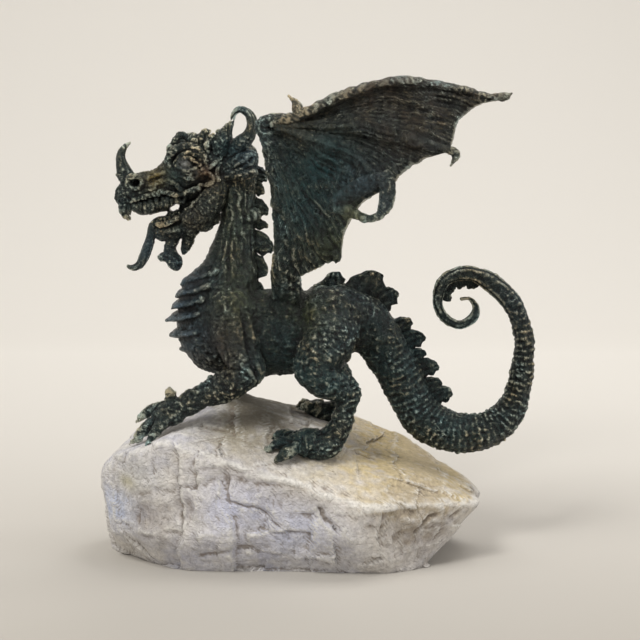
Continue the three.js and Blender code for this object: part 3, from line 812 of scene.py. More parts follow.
def breast_plates(clay):
    """Overlapping plates down the front of the neck and over the breast, like roof tiles."""
    for x, z, wide in BREAST_PLATES:
        rise = 7 + 0.12 * (z - 240)
        wide *= 0.78 + 0.22 * min(1, max(0, (350 - z) / 30))
        stations = [
            [x + 40, 0, z + rise, 8, wide * 1.42],
            [x + 22, 0, z + 0.6 * rise, 7, wide * 1.28],
            [x + 8, 0, z + 0.3 * rise, 4.8, wide * 0.8],
            [x, 0, z, 2.4, wide * 0.3],
        ]
        clay.add(stations, 1.2)


def body_clay(from_x, to_x):
    clay = Clay((from_x, -128, 114), (to_x, 128, 500), BODY_STEP)
    clay.add(TRUNK, 8)
    clay.add(NECK, 8)
    for side, fore, hind in ((NEAR, FORELEG_NEAR, HINDLEG_NEAR), (FAR, FORELEG_FAR, HINDLEG_FAR)):
        clay.add(on_side(side, fore), 7)
        clay.add(on_side(side, hind), 7)
        clay.add(on_side(side, SHOULDER), 8)
        clay.add(on_side(side, ARM), 5)
        clay.cut(on_side(side, ELBOW_GROOVE), 4)
    for toe in (*FORE_TOES_NEAR, *HIND_TOES_NEAR, FORE_SPUR, WRIST_KNOB):
        clay.add(on_side(NEAR, toe), 2.5)
    for toe in (*FORE_TOES_FAR, *HIND_TOES_FAR):
        clay.add(on_side(FAR, toe), 2.5)
    breast_plates(clay)
    return clay


# %% [markdown]
# ## Skin of the body
# A founder's wax is worked with a hot tool: small scales, wrinkles round the joints, cords along the neck and
# the wing arms, rings on the tail, cross ridges on the breast plates. Each is a noise that is strong only in
# its own region, added up as a height in mm. A point's wear follows from how far it stands out of its
# neighbours. Hollows between forms stay smooth, and painted shade darkens them.

# %% Relief of the cast skin
def hide_relief(points):
    """How far the skin stands out, in mm, from scales, wrinkles and folds."""
    length, _ = along_run(points, TRUNK)
    _, to_nape = along_run(points, NECK)
    outward = np.abs(points[:, 1])
    warp = 4 * swell(points, 14, 5)[:, None] * np.array([1, 0.4, 1])
    scales = nodules(points + warp, 5.6, 11)
    beads = nodules(points + 0.4 * warp, 3.8, 17, 0.6)
    wrinkles = ridges(points + warp, 12, 23)
    creases = ridges(points * [1, 1, 1.7] + warp, 8, 29)

    def near(x, z, reach):
        return np.exp(-((points[:, 0] - x) ** 2 + (points[:, 2] - z) ** 2) / reach**2)

    on_neck = np.clip((points[:, 2] - 325) / 20, 0, 1) * (points[:, 0] < 0) * (outward < 60)
    cords = ridges(points * [1.5, 1.5, 0.22] + warp, 9, 31)
    on_arm = np.clip((outward - 34) / 8, 0, 1) * np.clip((points[:, 2] - 300) / 20, 0, 1)
    on_tail = np.clip((length - 200) / 60, 0, 1)
    tail_end = np.clip((length - 545) / 70, 0, 1)
    rings = np.sin(length * 0.8 + 3 * swell(points, 22, 37))
    shoulder = near(-72, 258, 36) * (outward > 24)
    belly = near(0, 250, 42) * (outward < 52)
    shin = np.clip((212 - points[:, 2]) / 20, 0, 1) * (length < 190)
    plates = np.clip((-0.5 - to_nape) / 0.25, 0, 1) * (points[:, 0] < -60) * (points[:, 2] > 215)
    patch = np.clip(0.55 + 0.9 * swell(points, 30, 33, 2), 0.15, 1)
    folds = ridges(points * [1, 1, 0.6] + 2 * warp, 24, 35, 3)
    height = (1.9 * scales + 0.7 * beads) * patch * (1 + 0.6 * shoulder) + 1.3 * wrinkles + 0.9 * creases
    height += 2.4 * folds * (1 - on_tail)
    height *= 1 - 0.4 * on_neck - 0.3 * on_arm - 0.45 * belly - 0.5 * plates - 0.55 * tail_end
    height += (on_neck * (1 - plates) + on_arm) * 2.3 * cords
    height += belly * 1.4 * ridges(points * [0.5, 0.5, 1.3] + warp, 11, 43)
    height += plates * 1.0 * ridges(points * [0.25, 0.25, 1.5], 7, 47)
    height += on_tail * (1 - tail_end) * 0.5 * rings
    height += tail_end * 0.9 * np.sin(points[:, 1] * 1.3 + 3 * swell(points, 16, 49))
    height += 0.5 * shin * creases
    height += 2.4 * swell(points, 24, 41, 2)
    return height - 2.1


# %% Wear
def sums_at(index, values, count):
    return np.stack([np.bincount(index, weights=values[:, k], minlength=count) for k in range(3)], 1)


def worn(points, faces, spread=3):
    """How far each point stands out of its surroundings: 0 in a groove, 1 on a crest."""
    count = len(points)
    corners = points[faces]
    across = np.cross(corners[:, 2] - corners[:, 0], corners[:, 3] - corners[:, 1])
    normals = sum(sums_at(faces[:, k], across, count) for k in range(4))
    normals /= np.linalg.norm(normals, axis=1, keepdims=True) + 1e-12
    total, hits = np.zeros((count, 3)), np.zeros(count)
    for k in range(4):
        a, b = faces[:, k], faces[:, (k + 1) % 4]
        total += sums_at(a, points[b] - points[a], count)
        hits += np.bincount(a, minlength=count)
    bulge = -(total * normals).sum(1) / np.maximum(hits, 1)
    soft = bulge
    for _ in range(spread):
        gathered = np.zeros(count)
        for k in range(4):
            gathered += np.bincount(faces[:, k], weights=soft[faces[:, (k + 1) % 4]], minlength=count)
        soft = gathered / np.maximum(hits, 1)
    both = 0.6 * bulge / (bulge.std() + 1e-9) + 0.9 * soft / (soft.std() + 1e-9)
    return np.clip(0.42 + 0.2 * both, 0, 1)


def crease(clay, points, normals, out=5.0):
    """1 on open surface and less in a crease, from the clay's own distance a little way out."""
    beyond = sample(clay, points + normals * out)
    return np.clip(beyond / out, 0, 1)


# %% A cast piece
def from_ends(clay, points):
    """0 at the flat ends where two clays meet, 1 a little way from them."""
    last = clay.low[0] + clay.step * (clay.count[0] - 1)
    near = np.minimum(points[:, 0] - clay.low[0], last - points[:, 0])
    return np.clip((near / clay.step - 2) / 4, 0, 1)


def cast_piece(name, clay, relief=hide_relief, tints=TINTS):
    points, faces, normals = skin_over(clay)
    height = relief(points)
    cavity = crease(clay, points, normals)
    inner = from_ends(clay, points)
    points = points + normals * (height * np.clip(cavity + 0.2, 0.2, 1))[:, None]
    value = inner * worn(points, faces) + (1 - inner) * (0.38 + 0.06 * height)
    # painted shade: the value that colours the piece is darkened in the creases between forms
    value *= 0.3 + 0.7 * cavity
    return mesh_piece(name, points, faces, value, BRONZE, tint_of(points, tints))


chest = cast_piece("dragon_chest", body_clay(-192, WAIST))
hips = cast_piece("dragon_hips", body_clay(WAIST - WAIST_OVERLAP, TAIL_STARTS))

# %% [markdown]
# ## Tail
# The tail is thin at its end, so its clay has a finer grid.

# %% Tail
def tail_clay():
    clay = Clay((TAIL_STARTS - TAIL_OVERLAP, -36, 114), (302, 36, 362), TAIL_STEP)
    clay.add(TRUNK, 8)
    return clay


tail = cast_piece("dragon_tail", tail_clay())

# %% [markdown]
# ## Head
# The head carries most of the detail: a nasal horn, ringed nostrils, heavy brows, curled horns, an open mouth
# with teeth, a long tongue, a frilled jaw and a lobed beard. Its clay has the finest grid, and it is skinned
# as two pieces that meet at a plane behind the nose.

# %% Head stations
SKULL = in_plane([
    [-56, 466, 15, 14], [-78, 469, 25, 22], [-100, 467, 27, 25], [-121, 462, 27, 24],
    [-139, 452, 21, 20], [-150, 447, 18.5, 17], [-163, 444, 17.5, 15.5], [-176, 442, 17, 15],
    [-188, 438, 15, 13.5], [-196, 433, 11, 10], [-200, 427, 6, 6],
])
FOREHEAD = in_plane([[-133, 478, 12, 17], [-118, 481, 13, 20], [-100, 480, 14, 20], [-82, 478, 14, 18]])
JAW = in_plane([
    [-82, 438, 10, 16], [-95, 424, 13, 18], [-107, 411, 14, 18], [-120, 402, 12.5, 16],
    [-134, 393, 11.5, 14], [-148, 390, 10.5, 11], [-156, 390, 8, 7.5], [-161, 392, 4, 4],
])
TONGUE = in_plane([
    [-110, 426, 6, 9], [-124, 421, 5, 9], [-135, 413, 5, 8], [-147, 405, 4.8, 8], [-157, 403, 4.6, 7.5],
    [-163, 396, 5, 7], [-165, 386, 5, 7], [-168, 375, 5.6, 7], [-173, 362, 5.8, 6.5],
    [-179, 351, 4.8, 5.5], [-187, 347, 3.4, 4.5], [-193, 349, 1.9, 2.5],
])
TONGUE_HUMP = in_plane([[-140, 420, 3.4, 7], [-142, 409, 4, 7]])
GUMS = in_plane([
    [-189, 424, 6, 9], [-180, 421, 8.5, 12.5], [-168, 419.5, 9.5, 14.5], [-156, 422, 8.5, 16],
    [-145, 425, 9.5, 17.5], [-135, 431, 8, 18], [-122, 438, 9, 18], [-110, 438, 8, 17],
])
NOSE_HORN = in_plane([
    [-187, 446, 9, 8], [-193, 455, 9.6, 8], [-198, 468, 7.4, 6.4], [-199.5, 479, 5, 4.8],
    [-197, 487, 4, 4], [-193, 492, 2.7, 2.7], [-188, 495.5, 0.9, 0.9],
])
BEARD = in_plane([
    [-139, 382, 8, 8], [-142, 371, 6.8, 7], [-141, 361, 8.4, 7.5], [-137, 353, 8.4, 7],
    [-135, 347, 4, 4],
])
BEARD_SIDE_LOBE = in_plane([[-144, 362, 5.6, 5], [-151, 360, 5, 4.5], [-154.5, 360, 2.8, 2.8]])
BEARD_REAR_LOBE = in_plane([
    [-120, 386, 7.5, 7], [-123, 376, 6.2, 5.5], [-126, 369, 4.2, 4], [-127.5, 364, 1.2, 1.2],
])
HEAD_HORN = [
    [-68, 16, 485, 9], [-57, 22, 495, 9], [-49, 25, 503, 6.6], [-44.5, 27, 512, 5.2],
    [-44, 28, 521, 4.8], [-48, 28, 529.5, 4.2], [-57, 27, 534.5, 3.3], [-63, 26, 532, 2.5],
    [-66, 25.5, 527, 1.7], [-67, 25, 522.5, 0.9],
]
EAR = [
    [-79, 18, 488, 9.5], [-78, 23, 498, 9], [-75, 26, 506, 5.6], [-71, 28, 514, 3.3],
    [-67, 30, 521, 0.9],
]
EAR_KNOBS = [[-85, 20, 501, 4.6], [-82, 22, 508, 2.8], [-88, 17, 494, 5]]
FANG = [[-195, 5, 427, 5.4], [-197.5, 6, 417, 4.6], [-195, 6, 410, 3], [-191, 6, 405, 0.9]]
JOWL = [[-84, 9, 450, 15], [-92, 15, 428, 15], [-104, 16, 410, 13], [-117, 13, 398, 8]]
BROW = [
    [-139, 15, 464, 3.2], [-141, 17, 474, 4], [-138, 19, 483, 4.4], [-128, 21, 489, 4.8],
    [-117, 22, 491, 4.8], [-107, 23, 486, 4.6], [-100, 24, 478, 3.8], [-96, 25, 470, 2.6],
]
EYE = [-119, 20.5, 471, 8.6]
EYE_LIDS = [
    [[-131, 21, 470, 1.8], [-126, 25, 476, 2.2], [-118.5, 27.5, 479, 2.3], [-111, 26.5, 476, 2.1],
     [-104, 25, 470, 1.7]],
    [[-131, 21, 469, 1.7], [-125, 25.5, 465.5, 2], [-117.5, 27, 464, 2.1], [-110, 26.5, 466, 1.9],
     [-103, 25, 470, 1.6]],
    [[-134, 20, 473, 1.7], [-128, 24, 480, 2.2], [-118, 26, 484.5, 2.3], [-108, 25.5, 481, 2.2],
     [-101, 24.5, 474, 1.8]],
    [[-128, 23.5, 462, 1.7], [-118, 26, 459.5, 2], [-107, 26.5, 462, 2], [-98, 25.5, 467, 1.6]],
    [[-132, 22, 459, 1.6], [-120, 25.5, 455.5, 2], [-112, 26, 456, 1.8]],
]
CHEEK_FOLDS = [
    [[-111, 25.5, 454, 1.9], [-105, 26, 459, 2.2], [-97, 26.5, 461, 2.3], [-90, 26, 458, 2.2],
     [-88, 25, 452, 2], [-94, 25, 447, 2.1], [-104, 24, 447, 1.8]],
    [[-79, 23, 479, 1.6], [-87, 25, 471, 2.2], [-96, 26, 465, 2]],
    [[-80, 24, 472, 1.5], [-84, 25.5, 463, 2.2], [-83, 25, 452, 2]],
    [[-163, 15, 445, 2.4], [-152, 17.5, 450, 3], [-140, 20, 451.5, 2.8], [-133, 22, 447, 2.4],
     [-127, 23, 441, 2.2]],
    [[-167, 13.5, 453, 2], [-156, 15.5, 458, 2.4], [-146, 17, 460, 2.4]],
]
LIPS = [
    [[-198, 4, 430, 2.6], [-190, 9, 427.5, 2.8], [-176, 13.5, 431.5, 2.8], [-164, 15.5, 434.5, 2.8],
     [-149, 18, 438.5, 2.8], [-138, 20.5, 436.5, 2.6], [-129, 21.5, 435, 2.4], [-118, 22.5, 439, 2.6],
     [-106, 23.5, 443, 2.6]],
    [[-192, 8.5, 434, 2], [-180, 13, 437, 2.4], [-169, 15, 440, 2.3], [-158, 16.5, 442, 2]],
]
FOLD_RING = [-127, 18, 431]
# The open corner of the mouth, each [x, z, radius], seen right through.
MOUTH_GAP = [[-139, 417.5, 3.6], [-134, 420, 4.4]]
NOSTRIL_MIDDLE = (-182, 14.5, 449)
JAW_RIM = [
    [-77, 19, 446, 2.4], [-87, 20, 441, 3], [-96, 20.5, 434.5, 3], [-103, 20.5, 430, 2.9],
    [-111, 20.5, 424.5, 2.9], [-119, 19.5, 417, 2.8], [-129, 17.5, 408.5, 2.6], [-141, 14.5, 403, 2.5],
    [-151, 11, 399, 2.2], [-158, 6, 400, 2],
]
JAW_LOBES = [
    [-115, 13, 408, 13], [-101, 14, 403, 11], [-96, 15, 420, 11], [-115, 12, 395, 8], [-90, 13, 407, 7],
]
FRILL = [[-70, 17, 468, 6.5], [-59, 21, 474, 9], [-48, 22, 478, 9], [-41, 21, 480, 4]]
FRILL_LOW = [[-70, 17, 459, 8], [-58, 21, 461, 8.5], [-47, 21, 463, 7.5], [-41, 19, 461, 3]]
# Each curl of the forehead's crest is a short run of [x, y, z, radius].
CREST_CURLS = [
    [[-134, -3, 486, 5], [-133, -4, 496, 5.4], [-128, -4, 503, 5.2], [-122, -3, 501, 3.6]],
    [[-124, 7, 490, 5], [-121, 8, 500, 4.6], [-115, 9, 503, 3.6]],
    [[-117, -6, 490, 5], [-114, -7, 500, 4.8], [-109, -7, 502, 3.4]],
    [[-108, 4, 490, 5], [-107, 5, 500, 4.4], [-103, 5, 503, 3]],
    [[-106, -8, 488, 5.4], [-104, -10, 500, 4.6], [-99, -10, 507, 3.6], [-94, -9, 508, 2.2]],
    [[-99, 8, 488, 5], [-96, 9, 498, 4.6], [-91, 10, 503, 3]],
    [[-92, -4, 488, 5.4], [-89, -5, 496, 4.6], [-85, -5, 500, 3]],
    [[-139, 5, 482, 4], [-141, 7, 488, 4.4], [-137, 8, 493, 3.6]],
    [[-137, -9, 484, 4.2], [-140, -11, 489, 3.8]],
    [[-126, -13, 486, 4.6], [-125, -15, 495, 4]],
    [[-126, 14, 486, 4.6], [-125, 16, 495, 4]],
    [[-113, -15, 488, 4.4], [-111, -17, 497, 3.8]],
    [[-112, 16, 488, 4.4], [-110, 18, 497, 3.8]],
    [[-97, -18, 484, 4.6], [-95, -20, 493, 3.8]],
    [[-97, 18, 484, 4.6], [-95, 20, 493, 3.8]],
]


# %% [markdown]
# The eye is a ball in a socket with lids round it, the nostril a ring round a bored hole, and the corner of
# the mouth is bored right through, so that light shows behind the teeth.

# %% Head in clay
def ring(middle, wide, tall, thickness, tilt):
    """An oval of stations round a middle, facing outwards and forwards."""
    middle = np.array(middle, float)
    across = np.array([math.cos(tilt), math.sin(tilt), 0])
    up = np.array([0, 0, 1])
    return [
        [*(middle + wide * math.cos(a) * across + tall * math.sin(a) * up), thickness, thickness]
        for a in np.linspace(0, 2 * math.pi, 13)
    ]


MUZZLE_ENDS = -126.0


def head_clay(from_x, to_x):
    clay = Clay((from_x, -42, 338), (to_x, 42, 546), HEAD_STEP)
    for part, blend in (
        (SKULL, 5), (NECK[:2], 5), (FOREHEAD, 2), (JAW, 3), (GUMS, 1), (NOSE_HORN, 2.5), (TONGUE, 1.5),
        (TONGUE_HUMP, 2), (BEARD, 3), (BEARD_SIDE_LOBE, 2), (BEARD_REAR_LOBE, 1.5),
    ):
        clay.add(part, blend)
    for curl in CREST_CURLS:
        clay.add([[x, y, z, radius, radius] for x, y, z, radius in curl], 1.2)
    for side in (NEAR, FAR):
        for part, blend in (
            (HEAD_HORN, 3), (EAR, 2), (FANG, 2), (JOWL, 4), (BROW, 1.2), (FRILL, 1.5), (FRILL_LOW, 1.5),
        ):
            clay.add(on_side(side, part), blend)
        for lobe in (*JAW_LOBES, *EAR_KNOBS):
            clay.add(on_side(side, [lobe]), 1.6)
        clay.cut(on_side(side, [[-118, 27, 471, 8.5]]), 2.5)
        clay.add(on_side(side, [EYE]), 0.6)
        for part in (*EYE_LIDS, *CHEEK_FOLDS, *LIPS, JAW_RIM):
            clay.add(on_side(side, part), 1.7)
        clay.add(ring((FOLD_RING[0], side * FOLD_RING[1], FOLD_RING[2]), 4.4, 4.4, 2.3, -side * 0.2), 2)
        x, outward, z = NOSTRIL_MIDDLE
        clay.add(ring((x, side * outward, z), 9.2, 6.8, 3.0, side * 0.35), 1.5)
        clay.cut(on_side(side, [[x + 2, outward - 7, z, 4.2], [x, outward + 1, z, 4.8]]), 1)
        clay.cut(on_side(side, [[x - 3.5, outward + 3, z, 4.2], [x + 3.5, outward + 4, z, 4.2]]), 1)
    for x, z, radius in MOUTH_GAP:
        clay.cut([[x, -34, z, radius, radius], [x, 34, z, radius, radius]], 1)
    return clay


# %% Skin of the head
def head_relief(points):
    """Finer scales and wrinkles than on the body, smooth on the eye, the horns and the tongue."""
    warp = 3 * swell(points, 12, 51)[:, None] * np.array([1, 0.4, 1])
    patch = np.clip(0.5 + 0.9 * swell(points, 16, 59, 2), 0.1, 1)
    height = 1.1 * nodules(points + warp, 4.2, 53) * patch + 1.5 * ridges(points + warp, 9, 57, 3)
    height += 0.45 * nodules(points, 2.6, 61) + 0.8 * ridges(points * [1, 1, 1.8] + warp, 5, 65)
    height += 1.1 * swell(points, 12, 63, 2) - 0.5
    # concentric grooves on the jaw's lobes, upright ones on the gums, fanned ones on the frill
    away = np.hypot(points[:, 0] + 112, points[:, 2] - 410)
    lobed = np.clip(1 - np.abs(away - 9) / 9, 0, 1) * (points[:, 2] < 432)
    height += lobed * (0.55 * np.sin(away * 1.7 + 5 * swell(points, 10, 68)) + 0.5)
    gum_line = np.interp(points[:, 0], [-192, -176, -164, -149, -138, -120], [425, 429, 432, 436, 434, 436])
    on_gum = np.clip((gum_line - points[:, 2]) / 2, 0, 1) * (points[:, 2] > 408) * (points[:, 0] < -136)
    lumps = nodules(points * [1, 0.3, 0.62], 4.8, 67, 0.7)
    height = height * (1 - on_gum) + on_gum * (2.4 * lumps - 0.6)
    fan = np.arctan2(points[:, 2] - 452, points[:, 0] + 88)
    on_frill = np.exp(-((points[:, 0] + 52) ** 2 + (points[:, 2] - 470) ** 2) / 13**2)
    height += on_frill * 1.1 * np.sin(fan * 34)
    eye = np.linalg.norm(points * [1, 0, 1] - np.array([EYE[0], 0, EYE[2]]), axis=1)
    on_eye = np.clip((eye - 5.8) / 1.5, 0, 1)
    on_horn = np.clip((points[:, 2] - 500) / 6, 0, 1) * (points[:, 0] > -72)
    on_horn = np.maximum(on_horn, np.clip((points[:, 2] - 460) / 6, 0, 1) * (points[:, 0] < -184))
    on_tongue = np.clip((-160 - points[:, 0]) / 3, 0, 1) * (points[:, 2] < 398)
    smooth = np.maximum(on_horn, on_tongue)
    along = 0.5 + 0.5 * np.sin(points[:, 1] * 1.7 + points[:, 0] * 0.7 + 2 * swell(points, 9, 69))
    height = height * on_eye * (1 - 0.8 * smooth) + 0.75 * smooth * along
    return height + 0.8 * (1 - on_eye) - 0.5


head = cast_piece("dragon_head", head_clay(MUZZLE_ENDS - MUZZLE_OVERLAP, -28), head_relief)
muzzle = cast_piece("dragon_muzzle", head_clay(-209, MUZZLE_ENDS), head_relief)

# %% [markdown]
# ## Wings
# A wing is a sheet between four fingers and the arm, all of which spread from the wrist. Its shell is built
# straight from that rule: rings of points run over the outer face, round the leading edge and back over the
# inner face. Folds that fan out from the wrist push both faces the same way.

# %% Wing rule
FINGERS = [
    [
        [-25, 118, 517, 9], [14, 134, 527, 7], [60, 152, 549, 6.5], [118, 172, 564, 6],
        [178, 187, 557, 5], [224, 197, 544, 4],
    ],
    [
        [-25, 118, 517, 9], [36, 146, 516, 6], [84, 168, 516, 5.5], [126, 188, 505, 5],
        [156, 200, 497, 4], [172, 205, 491, 3.4],
    ],
    [
        [-25, 118, 517, 9], [14, 137, 508, 6], [50, 157, 495, 5], [76, 170, 483, 4.6],
        [96, 181, 466, 4.2], [109, 188, 450, 4],
    ],
    [
        [-25, 118, 517, 9], [-8, 126, 485, 6], [10, 131, 450, 5], [28, 130, 416, 4.4],
        [44, 125, 388, 4], [60, 120, 371, 3],
    ],
    ARM,
]
SCALLOP = [0.11, 0.10, 0.16, 0.05]
SAG = [-9, -10, -14, 8]
SKIN = 4.0
FINGER_CLAWS = [
    [[214, 193.5, 547, 3], [228, 198, 547, 4.6], [236, 199, 551, 1.2]],
    [[164, 202, 495, 3], [178, 206, 488, 4.4], [173, 207, 476, 1]],
]
# The edge between the third and fourth finger is rolled round a hole. Each station is [x, outward, z,
# half width along the sheet, half thickness].
ROLLED_EDGE = [
    [107, 187, 467, 4.5, 1.6], [108, 187, 456, 8.6, 2.8], [107, 187, 442, 8.8, 2.8],
    [104, 186, 430, 6.6, 3], [97, 184, 421, 4.2, 3], [86, 180, 419, 3.8, 3], [76, 175, 422, 5, 3.2],
    [66, 170, 426, 6, 3.4], [56, 163, 428, 6, 3],
]
EDGE_WEB = [
    [108, 187, 462, 8, 1.7], [96, 182, 459, 9, 1.7], [83, 176, 454, 10, 1.7], [71, 168, 446, 10, 1.7],
    [58, 161, 437, 9, 1.7],
]
RIM_LUMPS = [[74, 175, 424, 4.6], [67, 171, 428, 5], [84, 180, 418.5, 4]]
WRIST = [
    [-16, 112, 488, 8.5], [-23, 117, 507, 9.4], [-28, 118, 516, 8], [-20, 119, 521, 8.5], [-6, 124, 522, 7],
]
THUMB = [[14, 133, 524, 5.5], [11, 134, 533, 5], [8, 134, 542, 3.4], [1, 133, 550, 0.9]]


def finger_at(finger, reach):
    """Points along a finger at shares of its stations, with the radius there."""
    run = flowing(finger, 12)
    at = np.clip(reach, 0, 1) * (len(run) - 1)
    index = np.minimum(at.astype(int), len(run) - 2)
    share = (at - index)[..., None]
    return run[index] * (1 - share) + run[index + 1] * share


def wing_sheet(u, v):
    """The middle of the sheet on the right wing, and half its thickness, for arrays u and v."""
    panel = np.minimum(u.astype(int), len(SCALLOP) - 1)
    share = u - panel
    bulge = 4 * share * (1 - share)
    reach = v * (1 - np.array(SCALLOP)[panel] * bulge)
    spread = np.stack([finger_at(finger, reach) for finger in FINGERS])
    grid = np.indices(u.shape)
    start = spread[(panel, *grid)]
    end = spread[(panel + 1, *grid)]
    middle = start[..., :3] * (1 - share[..., None]) + end[..., :3] * share[..., None]
    middle[..., 1] += np.array(SAG)[panel] * bulge * np.sin(math.pi * v * 0.8)
    gap = np.linalg.norm(end[..., :3] - start[..., :3], axis=-1)
    half = np.full(u.shape, SKIN / 2)
    for side_share, finger in ((share, start), (1 - share, end)):
        radius = finger[..., 3]
        rise = np.sqrt(np.clip(radius**2 - (side_share * gap) ** 2, 0, None))
        half = np.maximum(half, rise)
    return middle, half


# %% [markdown]
# The cast membrane is crumpled like wet leather. Folds, pleats and crumples move both faces of the shell
# together, and finer lines are laid on each face alone, so the sheet keeps its thickness.

# %% Wing shells
WING_COLUMNS = 54
WING_ROWS = 98


def wing_shell(side):
    columns = len(SCALLOP) * WING_COLUMNS + 1
    v = np.linspace(0.04, 1, WING_ROWS)[:, None] * np.ones((1, columns))
    u = np.linspace(0, len(SCALLOP), columns)[None, :] * np.ones((WING_ROWS, 1))
    middle, half = wing_sheet(u, v)
    normal = np.cross(np.gradient(middle, axis=1), np.gradient(middle, axis=0))
    normal /= np.linalg.norm(normal, axis=-1, keepdims=True) + 1e-9
    if normal[WING_ROWS // 2, columns // 2, 1] < 0:
        normal = -normal
    # the fingers hardly stand out of the skin: only the leading edge and the arm keep their full roundness
    rounded = np.clip(np.maximum(1 - u / 0.3, (u - 3.55) / 0.3), 0.03, 1)
    half = SKIN / 2 + (half - SKIN / 2) * rounded
    half = np.minimum(half, 4 + 7 * v)
    flat = middle.reshape(-1, 3)
    shape = u.shape
    # folds fan out from the wrist, fine across and long outwards, and crumples cross them
    fan = np.stack([u * 9, v * 3.4, 0 * u], -1).reshape(-1, 3)
    fan += 1.3 * swell(flat, 34, 81)[:, None] * np.array([1, 0.4, 0])
    folds = ridges(fan, 1.9, 83, 2).reshape(shape)
    pleats = ridges(fan * [3.3, 1.6, 1], 1.5, 87, 2).reshape(shape)
    crumple = ridges(flat + 7 * swell(flat, 20, 85)[:, None], 24, 89, 3).reshape(shape)
    webbed = 1 - np.clip((half - SKIN / 2) / 3, 0, 1)
    wave = (4.0 * folds + 2.0 * pleats + 3.4 * crumple - 3.6) * (0.35 + 0.65 * v) * (0.25 + 0.75 * webbed)
    wave += 3.4 * swell(flat, 30, 93, 2).reshape(shape) * v * (0.3 + 0.7 * webbed)
    edge_noise = (2.2 * nodules(flat, 9, 97, 0.7) - 0.8).reshape(shape)
    half = half + edge_noise * np.clip(1 - u / 0.22, 0, 1)
    shells = []
    for face in (1, -1):
        lines = ridges(fan * [7, 2.2, 1] + 20 * face, 1.5, 99, 2).reshape(shape)
        rough = 0.7 * nodules(flat, 4.4, 91).reshape(shape) + 2.1 * lines
        rough += 1.2 * ridges(flat + 40 * face, 8, 95, 3).reshape(shape) - 1.2
        offset = face * (half + rough * 0.9) + wave
        shells.append(middle + normal * offset[..., None])
    edge = middle[:, 0]
    outwards = edge - middle[:, 3]
    outwards -= (outwards * normal[:, 0]).sum(-1, keepdims=True) * normal[:, 0]
    outwards /= np.linalg.norm(outwards, axis=-1, keepdims=True)
    caps = []
    for turn in np.linspace(math.pi / 2, -math.pi / 2, 9)[1:-1]:
        rim = half[:, 0] + 1.6 * nodules(edge + 30 * turn, 6, 97)
        point = edge + rim[:, None] * (math.cos(turn) * outwards + math.sin(turn) * normal[:, 0])
        caps.append(point + normal[:, 0] * wave[:, 0, None])
    rings = np.concatenate([shells[0][:, ::-1], np.stack(caps, 1), shells[1]], axis=1)
    count = rings.shape[1]
    points = rings.reshape(-1, 3)
    if side == NEAR:
        points = points * [1, -1, 1]
    row, column = np.meshgrid(np.arange(WING_ROWS - 1), np.arange(count - 1), indexing="ij")
    a = (row * count + column).ravel()
    faces = [np.stack([a, a + 1, a + count + 1, a + count], 1)]
    rows = np.arange(WING_ROWS - 1) * count
    faces.append(np.stack([rows + count - 1, rows, rows + count, rows + 2 * count - 1], 1))
    for start, turned in ((0, False), ((WING_ROWS - 1) * count, True)):
        i = np.arange(count // 2 - 1)
        lid = np.stack([start + i, start + count - 1 - i, start + count - 2 - i, start + i + 1], 1)
        faces.append(lid[:, ::-1] if turned else lid)
    faces = np.vstack(faces)
    if side == NEAR:
        faces = faces[:, ::-1]
    # the fingers' crests are handled less than the creased skin, so they stay darker
    crest_line = np.exp(-(((u - np.round(u)) / 0.07) ** 2)) * (np.abs(u - 2) < 1.5)
    lines = np.concatenate([crest_line[:, ::-1], np.zeros((WING_ROWS, len(caps))), crest_line], axis=1)
    return points, faces, np.clip(worn(points, faces, 2) * (1.12 - 0.5 * lines.ravel()), 0, 1)


WING_TINTS = [
    [(190, 0, 545), 75, BROWN, 0.8],
    [(90, 0, 560), 40, BROWN, 0.75],
    [(20, 0, 530), 40, BROWN, 0.6],
    [(120, 0, 500), 40, BROWN, 0.6],
    [(20, 0, 450), 50, TEAL, 0.75],
    [(50, 0, 490), 30, TEAL, 0.6],
    [(80, 0, 450), 30, STEEL_BLUE, 0.6],
    [(46, 0, 384), 22, OLIVE, 0.9],
    [(72, 0, 424), 13, (0.2, 0.19, 0.06), 0.9],
    [(-6, 0, 400), 34, TEAL, 0.4],
]
wings = []
for name, side in (("wing_left", NEAR), ("wing_right", FAR)):
    points, faces, relief = wing_shell(side)
    wings.append(mesh_piece(name, points, faces, relief, BRONZE, tint_of(points, WING_TINTS)))

# %% [markdown]
# The wing's claws, its thumb, the knobbed wrist and the edge that is rolled round a hole are rounder than a
# sheet can be, so they are clay again and grow out of the shell.

# %% Claws, thumbs, wrists and the rolled edge
def wing_bones_clay(side):
    low, high = (102, 214) if side > 0 else (-214, -102)
    clay = Clay((-42, low, 404), (242, high, 556), BONE_STEP)
    for part in (*FINGER_CLAWS, THUMB, WRIST):
        clay.add(on_side(side, part), 2)
    for run in (ROLLED_EDGE, EDGE_WEB):
        clay.add([[x, side * outward, z, wide, thick] for x, outward, z, wide, thick in run], 2)
    for lump in RIM_LUMPS:
        clay.add(on_side(side, [lump]), 3)
    return clay


def bone_relief(points):
    """Fine ridges along the wing's bones and rolled edge."""
    warp = 3 * swell(points, 12, 73)[:, None] * np.array([1, 0.4, 1])
    height = 0.9 * ridges(points + warp, 8, 75) + 0.8 * nodules(points + warp, 4.6, 77)
    return height + 0.8 * swell(points, 12, 79, 2) - 0.8


bones = []
for name, side in (("wing_claws_left", NEAR), ("wing_claws_right", FAR)):
    bones.append(cast_piece(name, wing_bones_clay(side), bone_relief, WING_TINTS))

# %% [markdown]
# ## Crest plates, teeth and beads
# These repeat along a path, so one Geometry Nodes tree sets them out: it stands a copy of a pattern on each
# point of a row, turned to the point's own axes and scaled to its own size, then makes them real.

